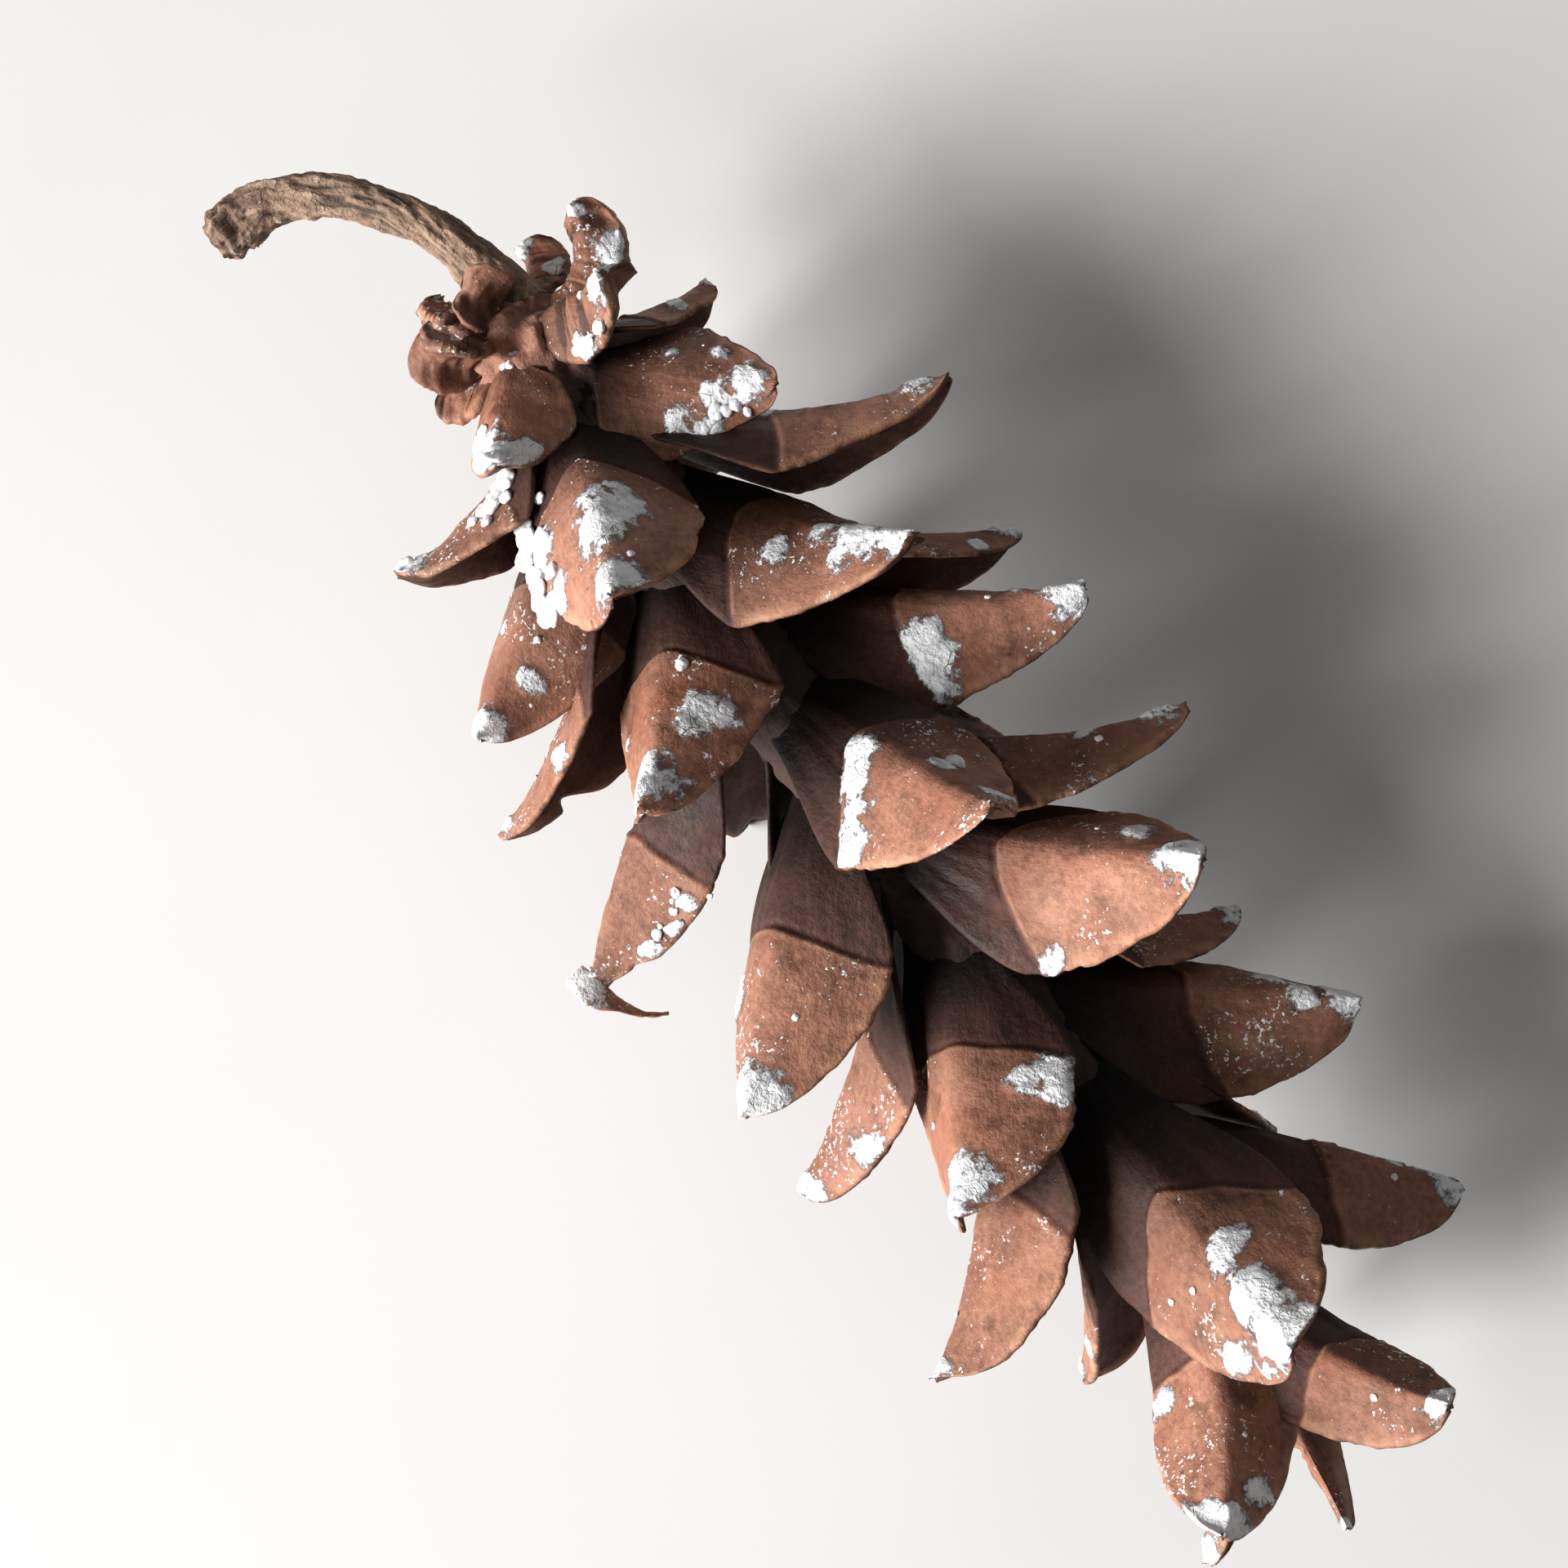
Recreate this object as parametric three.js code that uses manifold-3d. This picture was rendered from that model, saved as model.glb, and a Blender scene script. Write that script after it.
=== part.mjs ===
// A pine cone lying on its side: the open, woody cone of a white pine, with the bent stalk it hung from.
// Millimetres, +Z up. The origin is on the table, under the middle of the cone and stalk together.
// The cone has a frame of its own: +X runs along its axis from the stalk to the tip, azimuth 0 is up
// and azimuth 90 is +Y. A scale's outer face is the one turned towards the stalk.

import * as THREE from "three";
import { mergeVertices } from "three/addons/utils/BufferGeometryUtils.js";
import Module from "manifold-3d";

const wasm = await Module();
wasm.setup();

// Spiral of scales. Scale 0 is the first that stands out from the axis, and those before it are curled.
const FIRST_SCALE = -8;
const LAST_SCALE = 41;
const DIVERGENCE = 138.2; // degrees from one scale to the next, just over the golden angle
const FIRST_AZIMUTH = 250; // degrees, where scale 0 stands

// Growth along the cone. station: where the scale leaves the axis. half: half its greatest width.
// leave and reach: degrees between the scale and the cone's axis, at its root and at its tip.
const GROWTH = [
  { scale: -8, station: -1.8, length: 5.5, half: 2.6, leave: 84, reach: 185 },
  { scale: -3, station: 2, length: 9, half: 3.4, leave: 78, reach: 165 },
  { scale: 2, station: 4.5, length: 19, half: 5.2, leave: 58, reach: 108 },
  { scale: 7, station: 11, length: 28, half: 7.6, leave: 42, reach: 80 },
  { scale: 13, station: 21.5, length: 34, half: 8.6, leave: 38, reach: 68 },
  { scale: 24, station: 56.5, length: 34, half: 8.8, leave: 36, reach: 64 },
  { scale: 33, station: 87, length: 34, half: 8.6, leave: 32, reach: 57 },
  { scale: 37, station: 100, length: 31, half: 6, leave: 22, reach: 44 },
  { scale: 41, station: 110, length: 26, half: 4.2, leave: 8, reach: 24 },
];

// How single scales of the upper side depart from the growth: degrees by which they are swung sideways,
// leave and reach further out, and are twisted, and the share by which they are longer.
const HABITS = new Map([
  [-7, { swing: 0, leave: -8, reach: 0, twist: 0, longer: 0.7 }],
  [-6, { swing: 30, leave: 0, reach: 0, twist: 0, longer: -0.25 }],
  [-4, { swing: 0, leave: -30, reach: 15, twist: 90, longer: 0.75 }],
  [-1, { swing: 40, leave: -15, reach: -60, twist: 0, longer: 0.15 }],
  [0, { swing: 0, leave: 0, reach: 15, twist: 0, longer: -0.45 }],
  [1, { swing: -5, leave: -3, reach: -26, twist: 0, longer: 0.12 }],
  [2, { swing: -13, leave: -2, reach: -70, twist: -20, longer: -0.15 }],
  [4, { swing: 16, leave: -11, reach: -50, twist: 58, longer: 0.01 }],
  [5, { swing: 0, leave: -4, reach: 6, twist: 0, longer: -0.06 }],
  [7, { swing: -17, leave: -2, reach: -36, twist: 16, longer: 0.11 }],
  [9, { swing: 0, leave: 5, reach: -3, twist: 0, longer: 0.11 }],
  [10, { swing: -37, leave: 1, reach: -25, twist: -19, longer: -0.07 }],
  [12, { swing: 17, leave: -18, reach: -9, twist: -10, longer: 0 }],
  [13, { swing: 7, leave: 4, reach: 4, twist: 0, longer: 0.03 }],
  [15, { swing: -16, leave: 0, reach: -13, twist: 6, longer: -0.08 }],
  [17, { swing: 32, leave: -4, reach: -9, twist: 6, longer: 0 }],
  [18, { swing: -34, leave: 20, reach: -24, twist: -9, longer: 0.1 }],
  [20, { swing: 15, leave: -5, reach: 4, twist: -40, longer: 0.06 }],
  [22, { swing: 0, leave: 4, reach: 8, twist: 0, longer: 0 }],
  [23, { swing: -22, leave: 18, reach: -28, twist: -8, longer: -0.04 }],
  [25, { swing: 17, leave: 5, reach: 1, twist: 17, longer: -0.03 }],
  [27, { swing: 5, leave: 1, reach: 4, twist: 0, longer: 0 }],
  [28, { swing: -19, leave: -10, reach: -8, twist: 32, longer: -0.13 }],
  [30, { swing: 34, leave: -3, reach: -18, twist: 8, longer: 0.02 }],
  [31, { swing: 0, leave: 0, reach: 0, twist: 0, longer: -0.02 }],
  [33, { swing: -3, leave: -6, reach: 5, twist: 35, longer: 0.1 }],
  [35, { swing: 17, leave: 16, reach: -16, twist: 25, longer: 0.12 }],
  [36, { swing: 11, leave: -18, reach: 19, twist: -73, longer: 0.13 }],
  [38, { swing: -12, leave: -6, reach: 33, twist: 35, longer: 0.13 }],
  [41, { swing: 0, leave: -6, reach: 22, twist: -24, longer: -0.03 }],
]);

// Scales that are broader, narrower or flatter than the others, as shares of the plain form.
const BREADTH = new Map([
  [4, 1.3],
  [18, 0.85],
  [41, 0.8],
]);
const FLATNESS = new Map([
  [4, 0.45],
  [12, 0.85],
  [33, 0.9],
]);

// How blunt the caps of single scales are: the power by which they narrow to the tip.
const PLAIN_BLUNTNESS = 1.25;
const BLUNTNESS = new Map([
  [2, 2.2],
  [4, 1],
  [7, 2.4],
  [18, 1.8],
  [23, 2],
  [25, 1.6],
  [28, 2.4],
  [30, 1.7],
  [31, 3.4],
  [33, 2.4],
  [35, 2.8],
  [36, 2.6],
  [38, 2.2],
]);

// Seeded departures of all the other scales, either way.
const SWING_SPREAD = 12;
const OPEN_SPREAD = 5;
const TWIST_SPREAD = 14;
const LENGTH_SPREAD = 0.06;

// One scale. Shares are of its length, or of its half width.
const CAP_START = 0.5; // where the thick, exposed cap begins
const CAP_STEP = 0.03; // length of the step up onto the cap
const CAP_RISE = 0.7;
const ROOT_WIDTH = 0.42;
const TIP_WIDTH = 0.12;
const CAMBER = 0.62; // how far the margins drop towards the inner face
const KEEL = 0.24; // roundness of the fold down the middle
const HOOK_START = 0.84; // where the tip begins to hook back
const HOOK = 1.1;
const EDGE_THICKNESS = 0.9;
const MIDDLE_THICKNESS = 1.9;
const ROOT_RADIUS = 1.5; // distance from the axis where a scale starts, sunk in the core
const ACROSS = [-1, -0.5, 0, 0.5, 1];
const ALONG = [0, 0.2, 0.38, CAP_START, CAP_START + CAP_STEP, 0.7, 0.86, 1];

// Core: radius against distance along the axis.
const CORE_PROFILE = [
  [-5, 0],
  [-5, 3],
  [1, 4.6],
  [12, 5.3],
  [90, 4],
  [110, 2.4],
  [114, 0],
];
const CORE_SIDES = 12;

// Stalk: a bent stick whose path and radius run from the cone to the broken end.
const STALK_GAP = 0.3;
const STALK_PATH = [
  [-5 - STALK_GAP, 1, 0],
  [-8.5, 0.4, 0.7],
  [-13.3, -2, 1.4],
  [-18.5, -5.9, 1.5],
  [-21.4, -10.3, 1.1],
  [-22.4, -14.3, 0.6],
  [-22.7, -17.6, 0],
];
const STALK_RADIUS = [2.6, 2, 1.95, 2, 2.15, 2.5, 2.3];
const STALK_STEPS = 18;
const STALK_SIDES = 12;
const STALK_RIDGE = 0.07; // share of the radius that the bark's ridges stand out

// Resting pose: how the cone's frame stands on the table.
const ROLL = -1; // degrees about the axis
const DROOP = 2; // degrees by which the tip lies lower than the stalk
const LIFT = 28.85; // height of the cone frame's origin
const SHIFT = [-53.94, 1.54];

const BARK_COLOUR = 0x8a7361;
const SCALE_COLOUR = 0x7d5543;

const radians = THREE.MathUtils.degToRad;
const smooth = (t) => THREE.MathUtils.smoothstep(t, 0, 1);

// A seeded number from -1 to 1 for a scale and a purpose.
function draw(scale, purpose) {
  const wave = Math.sin(12.9898 * (scale + 20) + 78.233 * purpose) * 43758.5453;
  return 2 * (wave - Math.floor(wave)) - 1;
}

// The growth row of a scale, read between the rows of GROWTH.
function growthOf(scale) {
  const after = GROWTH.findIndex((row) => row.scale >= scale);
  const high = GROWTH[Math.max(after, 1)];
  const low = GROWTH[Math.max(after, 1) - 1];
  const share = (scale - low.scale) / (high.scale - low.scale);
  const between = (key) => THREE.MathUtils.lerp(low[key], high[key], share);
  return Object.fromEntries(Object.keys(low).map((key) => [key, between(key)]));
}

// The habit of a scale: the one measured, or one drawn for it.
function habitOf(scale) {
  const open = OPEN_SPREAD * draw(scale, 1);
  const drawn = {
    swing: SWING_SPREAD * draw(scale, 2),
    leave: open,
    reach: open,
    twist: TWIST_SPREAD * draw(scale, 3),
    longer: LENGTH_SPREAD * draw(scale, 4),
  };
  return HABITS.get(scale) ?? drawn;
}

// Half width of a scale at a share of its length: it widens to the cap, which tapers to the tip.
function widthAt(along, bluntness) {
  if (along < CAP_START) return THREE.MathUtils.lerp(ROOT_WIDTH, 1, smooth(along / CAP_START));
  const onCap = (along - CAP_START) / (1 - CAP_START);
  return THREE.MathUtils.lerp(1, TIP_WIDTH, Math.pow(onCap, bluntness));
}

// Drop of the folded scale from its keel, 0 in the middle and 1 at the margins.
function foldAt(across) {
  return (Math.hypot(across, KEEL) - KEEL) / (Math.hypot(1, KEEL) - KEEL);
}

// How far the cap stands out of the outer face.
function capRiseAt(along, across) {
  const step = smooth((along - CAP_START) / CAP_STEP);
  const fade = 1 - 0.75 * THREE.MathUtils.clamp((along - CAP_START) / (1 - CAP_START), 0, 1);
  return CAP_RISE * step * fade * (1 - 0.5 * across * across);
}

// The cross-sections of a scale, from root to tip. Each is a loop of points: over the outer face from
// one margin to the other, and back over the inner face. The middle line is an arc of a circle.
function scaleSections(scale) {
  const growth = growthOf(scale);
  const habit = habitOf(scale);
  const length = growth.length * (1 + habit.longer);
  const start = radians(growth.leave + habit.leave);
  const bend = radians(growth.reach + habit.reach) - start;
  const twist = radians(habit.twist);
  const half = growth.half * (BREADTH.get(scale) ?? 1);
  const fullCamber = CAMBER * (FLATNESS.get(scale) ?? 1);
  const bluntness = BLUNTNESS.get(scale) ?? PLAIN_BLUNTNESS;
  const azimuth = radians(FIRST_AZIMUTH - DIVERGENCE * scale);

  const outward = new THREE.Vector3(0, Math.sin(azimuth), Math.cos(azimuth));
  const forward = new THREE.Vector3(1, 0, 0).applyAxisAngle(outward, radians(habit.swing));
  const sideways = new THREE.Vector3().crossVectors(outward, forward);
  const root = new THREE.Vector3(growth.station, 0, 0).addScaledVector(outward, ROOT_RADIUS);

  return ALONG.map((along) => {
    const angle = start + bend * along;
    const centre = root
      .clone()
      .addScaledVector(forward, (length * (Math.sin(angle) - Math.sin(start))) / bend)
      .addScaledVector(outward, (length * (Math.cos(start) - Math.cos(angle))) / bend);
    const flatNormal = outward
      .clone()
      .multiplyScalar(Math.cos(angle))
      .addScaledVector(forward, -Math.sin(angle));
    const turned = twist * along;
    const rowSideways = sideways
      .clone()
      .multiplyScalar(Math.cos(turned))
      .addScaledVector(flatNormal, Math.sin(turned));
    const rowNormal = flatNormal
      .clone()
      .multiplyScalar(Math.cos(turned))
      .addScaledVector(sideways, -Math.sin(turned));
    const hook = HOOK * Math.pow(Math.max(0, along - HOOK_START) / (1 - HOOK_START), 2);
    const halfWidth = half * widthAt(along, bluntness);
    const camber = fullCamber * Math.min(1, along / CAP_START);

    const pointAt = (across, face) => {
      const body = THREE.MathUtils.lerp(MIDDLE_THICKNESS, EDGE_THICKNESS, across * across) / 2;
      const thickness = face > 0 ? body + capRiseAt(along, across) : -body;
      const drop = camber * halfWidth * foldAt(across);
      return centre
        .clone()
        .addScaledVector(rowSideways, halfWidth * across)
        .addScaledVector(rowNormal, hook - drop + thickness);
    };
    const outer = ACROSS.map((across) => pointAt(across, 1));
    const inner = ACROSS.map((across) => pointAt(across, -1)).reverse();
    return [...outer, ...inner];
  });
}

// A closed solid through loops of points of equal count, closed at both ends by a ladder across the loop.
// Both halves of the loop are split along the same diagonal, so that thin blades don't cross themselves.
function loft(sections) {
  const sides = sections[0].length;
  const positions = sections.flat().flatMap((point) => point.toArray());
  const index = [];
  for (let row = 0; row + 1 < sections.length; row++) {
    for (let side = 0; side < sides; side++) {
      const here = row * sides + side;
      const next = row * sides + ((side + 1) % sides);
      const hereAbove = here + sides;
      const nextAbove = next + sides;
      if (side < sides / 2) index.push(here, hereAbove, nextAbove, here, nextAbove, next);
      else index.push(here, hereAbove, next, next, hereAbove, nextAbove);
    }
  }
  const last = (sections.length - 1) * sides;
  for (let side = 0; side + 1 < sides / 2; side++) {
    const a = side;
    const b = side + 1;
    const c = sides - 2 - side;
    const d = sides - 1 - side;
    index.push(a, b, c, a, c, d, last + a, last + c, last + b, last + a, last + d, last + c);
  }
  const geometry = new THREE.BufferGeometry();
  geometry.setAttribute("position", new THREE.Float32BufferAttribute(positions, 3));
  return geometry.setIndex(index);
}

// A three.js geometry as a solid that can be joined and cut, and back again.
function solidOf(geometry) {
  const bare = new THREE.BufferGeometry();
  bare.setAttribute("position", geometry.getAttribute("position"));
  const merged = mergeVertices(geometry.index ? bare.setIndex(geometry.index) : bare, 1e-4);
  const vertProperties = merged.getAttribute("position").array;
  const triVerts = new Uint32Array(merged.index.array);
  const solid = new wasm.Manifold(new wasm.Mesh({ numProp: 3, vertProperties, triVerts }));
  if (solid.volume() < 0) throw new Error("a solid is inside out");
  return solid;
}

function geometryOf(solid) {
  const { vertProperties, triVerts } = solid.getMesh();
  const geometry = new THREE.BufferGeometry();
  geometry.setAttribute("position", new THREE.Float32BufferAttribute(vertProperties, 3));
  geometry.setIndex(new THREE.Uint32BufferAttribute(triVerts, 1));
  geometry.computeVertexNormals();
  return geometry;
}

function coreSolid() {
  const profile = CORE_PROFILE.map(([along, radius]) => new THREE.Vector2(radius, along));
  const lathe = new THREE.LatheGeometry(profile, CORE_SIDES);
  return solidOf(lathe.rotateZ(-Math.PI / 2));
}

// The axis and its scales as one body, cut clear of the stalk. The lowest tips are worn flat by the table.
function coneGeometry(pose) {
  let cone = coreSolid();
  for (let scale = FIRST_SCALE; scale <= LAST_SCALE; scale++) {
    cone = cone.add(solidOf(loft(scaleSections(scale))));
  }
  cone = cone.subtract(solidOf(stalkGeometry(STALK_GAP)));
  const table = new THREE.BoxGeometry(400, 400, 40).translate(0, 0, -20);
  cone = cone.subtract(solidOf(table.applyMatrix4(pose.clone().invert())));
  const largest = cone.decompose().reduce((a, b) => (a.volume() > b.volume() ? a : b));
  return geometryOf(largest);
}

// The stalk's path, with a round section whose radius follows STALK_RADIUS and carries the bark's ridges.
// A margin added to the radius, and to the end at the cone, gives the room that the stalk takes.
function stalkGeometry(margin) {
  const path = new THREE.CatmullRomCurve3(STALK_PATH.map((point) => new THREE.Vector3(...point)));
  const frames = path.computeFrenetFrames(STALK_STEPS);
  const sections = frames.tangents.map((_, step) => {
    const share = step / STALK_STEPS;
    const knot = share * (STALK_RADIUS.length - 1);
    const low = Math.min(Math.floor(knot), STALK_RADIUS.length - 2);
    const radius = THREE.MathUtils.lerp(STALK_RADIUS[low], STALK_RADIUS[low + 1], knot - low);
    return Array.from({ length: STALK_SIDES }, (_, side) => {
      const turn = (2 * Math.PI * side) / STALK_SIDES;
      const ridged = margin + radius * (1 + (side % 2 ? STALK_RIDGE : -STALK_RIDGE));
      return path
        .getPointAt(share)
        .addScaledVector(frames.tangents[step], step === 0 ? -margin : 0)
        .addScaledVector(frames.normals[step], ridged * Math.cos(turn))
        .addScaledVector(frames.binormals[step], -ridged * Math.sin(turn));
    });
  });
  return loft(sections);
}

function named(name, geometry, color) {
  const material = new THREE.MeshStandardMaterial({ color, roughness: 0.75, metalness: 0 });
  const mesh = new THREE.Mesh(geometry, material);
  mesh.name = name;
  return mesh;
}

const pineCone = new THREE.Group();
pineCone.rotation.set(radians(ROLL), radians(DROOP), 0, "YXZ");
pineCone.position.set(SHIFT[0], SHIFT[1], LIFT);
pineCone.updateMatrix();
pineCone.add(named("cone", coneGeometry(pineCone.matrix), SCALE_COLOUR));
pineCone.add(named("stalk", stalkGeometry(0), BARK_COLOUR));

export default pineCone;
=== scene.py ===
"""Looks of an open pine cone that lies on its side: woody scales, bent stalk, dried resin, stage and camera.

The cone has a frame of its own, in millimetres: +X runs along its axis from the stalk to the tip, azimuth 0
is up and azimuth 90 is +Y. A scale's outer face is the one turned towards the stalk. Pieces are worked out
in that frame and laid on the table by the resting pose, in metres.
"""

import math

import bpy
import numpy as np
from bpy.props import FloatProperty, FloatVectorProperty, PointerProperty
from mathutils import Matrix, Vector


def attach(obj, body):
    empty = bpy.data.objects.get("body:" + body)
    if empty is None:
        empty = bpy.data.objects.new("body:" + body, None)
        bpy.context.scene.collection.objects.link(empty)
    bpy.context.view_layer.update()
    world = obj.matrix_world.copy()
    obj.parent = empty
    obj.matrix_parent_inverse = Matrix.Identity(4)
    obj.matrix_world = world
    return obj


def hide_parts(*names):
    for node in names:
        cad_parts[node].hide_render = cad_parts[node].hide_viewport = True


bl_info = {
    "name": "Pine cone",
    "version": (1, 0, 0),
    "blender": (4, 5, 0),
    "location": "View3D > Sidebar > Pine cone",
    "description": "Grows the scales, stalk and resin of a pine cone around its packed solids",
    "category": "Object",
}

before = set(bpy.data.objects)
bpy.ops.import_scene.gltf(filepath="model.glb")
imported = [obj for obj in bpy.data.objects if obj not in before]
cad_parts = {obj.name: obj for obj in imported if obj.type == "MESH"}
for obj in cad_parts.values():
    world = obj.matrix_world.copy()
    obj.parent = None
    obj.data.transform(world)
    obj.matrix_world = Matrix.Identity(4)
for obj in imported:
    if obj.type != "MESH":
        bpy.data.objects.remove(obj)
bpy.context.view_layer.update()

MM = 0.001

# Spiral of scales. Those before the first open one are small and curled back.
FIRST_OPEN = 1
LAST_SCALE = 41
DIVERGENCE = math.radians(138.2)
FIRST_AZIMUTH = math.radians(250)

# Growth along the cone: scale, station on the axis, length, half of the greatest width, and the degrees
# between the scale and the cone's axis where it leaves the core and where it reaches its tip.
GROWTH = np.array(
    [
        (-8, -1.8, 5.5, 2.6, 84, 185),
        (-3, 2, 9, 3.4, 78, 165),
        (2, 4.5, 19, 5.2, 58, 108),
        (7, 11, 28, 7.6, 42, 80),
        (13, 21.5, 34, 8.6, 38, 68),
        (24, 56.5, 34, 8.8, 36, 64),
        (33, 87, 34, 8.6, 32, 57),
        (37, 100, 31, 6, 22, 44),
        (41, 110, 26, 4.2, 8, 24),
    ],
    float,
)

# How single scales of the upper side depart from the growth: degrees by which they are swung sideways,
# leave and reach further out, and are twisted, and the share by which they are longer.
HABITS = {
    -7: (0, -8, 0, 0, 0.7),
    -6: (30, 0, 0, 0, -0.25),
    -4: (0, -30, 15, 90, 0.75),
    -1: (40, -15, -60, 0, 0.15),
    0: (0, 0, 15, 0, -0.45),
    1: (-5, -3, -26, 0, 0.12),
    2: (-13, -2, -70, -20, -0.15),
    4: (16, -11, -50, 58, 0.01),
    5: (0, -4, 6, 0, -0.06),
    7: (-17, -2, -36, 16, 0.11),
    9: (0, 5, -3, 0, 0.11),
    10: (-37, 1, -25, -19, -0.07),
    12: (17, -18, -9, -10, 0),
    13: (7, 4, 4, 0, 0.03),
    15: (-16, 0, -13, 6, -0.08),
    17: (32, -4, -9, 6, 0),
    18: (-34, 20, -24, -9, 0.1),
    20: (15, -5, 4, -40, 0.06),
    22: (0, 4, 8, 0, 0),
    23: (-22, 18, -28, -8, -0.04),
    25: (17, 5, 1, 17, -0.03),
    27: (5, 1, 4, 0, 0),
    28: (-19, -10, -8, 32, -0.13),
    30: (34, -3, -18, 8, 0.02),
    31: (0, 0, 0, 0, -0.02),
    33: (-3, -6, 5, 35, 0.1),
    35: (17, 16, -16, 25, 0.12),
    36: (11, -18, 19, -73, 0.13),
    38: (-12, -6, 33, 35, 0.13),
    41: (0, -6, 22, -24, -0.03),
}

# Greatest drawn habits of the other scales, in degrees and as a share of the length.
SWING_SPREAD = 12
OPEN_SPREAD = 5
TWIST_SPREAD = 14
LENGTH_SPREAD = 0.06

# One scale. Shares are of its length or of its half width, and the last three are in millimetres.
CAP_START = 0.5
ROOT_WIDTH = 0.42
TIP_WIDTH = 0.12
CAMBER = 0.62
KEEL = 0.24
HOOK_START = 0.84
HOOK = 1.1
MIDDLE_THICKNESS = 1.9
ROOT_RADIUS = 1.5

# Wear of a scale: where it ends along its length, shares by which that place is drawn and chipped, and
# heights in millimetres of its waves and of its curled margins.
TIP_PLACE = 0.984
TIP_WEAR = 0.012
TIP_CHIPS = 0.01
WAVES = 0.45
MARGIN_CURL = 0.7

# Heights on a scale, in millimetres: ribs of the blade, coarse and fine wrinkles of the cap, the bead and the
# groove at its lip, the swelling before its tip, folds of a curled scale, and prints of the seeds' wings.
RIBS = 0.22
WRINKLES = 0.2
FINE_WRINKLES = 0.09
LIP_BEAD = 0.06
LIP_GROOVE = 0.1
TIP_SWELLING = 0.1
FOLDS = 0.5
WING_PRINTS = 0.3

# Lips of the upper scales' caps: places along the scale at the left margin, the middle and the right margin.
LIPS = {
    2: (0.25, 0.16, 0.25),
    4: (0.3, 0.16, 0.28),
    7: (0.41, 0.33, 0.52),
    10: (0.45, 0.44, 0.55),
    12: (0.49, 0.36, 0.36),
    15: (0.39, 0.39, 0.5),
    17: (0.6, 0.46, 0.5),
    18: (0.57, 0.53, 0.57),
    20: (0.5, 0.33, 0.37),
    23: (0.49, 0.46, 0.53),
    25: (0.54, 0.36, 0.52),
    28: (0.38, 0.42, 0.49),
    30: (0.62, 0.5, 0.5),
    33: (0.57, 0.43, 0.59),
    35: (0.63, 0.54, 0.61),
    36: (0.55, 0.53, 0.58),
    38: (0.6, 0.58, 0.62),
}

# Crusts of dried resin on the upper scales: place across, place along, and radius in millimetres.
RESIN = {
    1: [(0.3, 0.97, 1.2), (-0.6, 0.7, 0.9)],
    2: [(0, 0.95, 2.4), (-0.5, 0.8, 2.4), (0.7, 0.85, 1.4)],
    4: [
        (0.1, 0.85, 1.8),
        (-0.3, 0.72, 1.6),
        (-0.6, 0.6, 1.2),
        (-0.9, 0.7, 1.4),
        (0.6, 0.7, 1),
        (0.3, 0.5, 0.7),
    ],
    5: [(-0.5, 0.85, 2.2), (0.2, 0.95, 1.8), (-0.7, 0.6, 1.8)],
    7: [(0.15, 0.6, 3), (0, 0.7, 2.4), (0.1, 0.92, 2.6), (-0.9, 0.48, 1.8), (-0.95, 0.66, 1.8)],
    9: [(0.1, 0.9, 2.2), (0.6, 0.75, 1.1)],
    10: [(-0.2, 0.96, 2.2), (0.4, 0.75, 1.1), (-0.6, 0.6, 1)],
    12: [(0.1, 0.8, 2.8), (0.3, 0.9, 2.6), (0, 0.66, 1.3), (-0.35, 0.55, 1.1), (-0.5, 0.75, 1)],
    15: [(0.55, 0.62, 2.2), (-0.1, 0.85, 2.6), (0.15, 0.9, 1.8), (-0.8, 0.55, 0.8)],
    17: [(-0.75, 0.57, 2.3), (-0.45, 0.53, 2.2), (0.2, 0.94, 2.4), (0.3, 0.8, 1)],
    18: [(0.2, 0.97, 2.2), (-0.9, 0.75, 1), (0.9, 0.64, 0.9), (0.95, 0.72, 0.8), (0.9, 0.8, 1)],
    20: [
        (-0.88, 0.54, 1.5),
        (-0.65, 0.5, 1.7),
        (-0.4, 0.45, 1.9),
        (-0.15, 0.41, 1.9),
        (0.65, 0.8, 1.5),
        (0.3, 0.62, 1.1),
    ],
    22: [(0.3, 0.9, 2), (-0.2, 0.7, 1)],
    23: [(-0.8, 0.62, 2.4), (0.1, 0.92, 2.8), (0.3, 0.97, 2)],
    25: [(0.3, 0.94, 2.8), (-0.1, 0.97, 2.2), (0.6, 0.72, 1.6), (-0.95, 0.57, 1.2)],
    28: [(0.1, 0.88, 2.6), (-0.2, 0.97, 2), (0.65, 0.56, 1.3), (0.9, 0.53, 1.5), (0.95, 0.6, 1.3)],
    30: [(0.5, 0.75, 1.6), (0.2, 0.93, 2.2), (0.1, 0.82, 1.6)],
    31: [(-0.9, 0.7, 1.2), (0.2, 0.97, 1.4)],
    33: [(-0.05, 0.93, 3.6), (0.15, 0.8, 2.2), (0.2, 0.66, 1.8), (-0.8, 0.8, 1.4)],
    35: [(0.5, 0.8, 1.8), (0.3, 0.93, 2.4), (0.6, 0.65, 1.2)],
    36: [(-0.8, 0.6, 1.4), (-0.5, 0.95, 2.2), (0.2, 0.97, 2.2), (0.7, 0.85, 1.2)],
    38: [(0.2, 0.96, 1.8)],
    41: [(0.3, 0.96, 0.5)],
}

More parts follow.
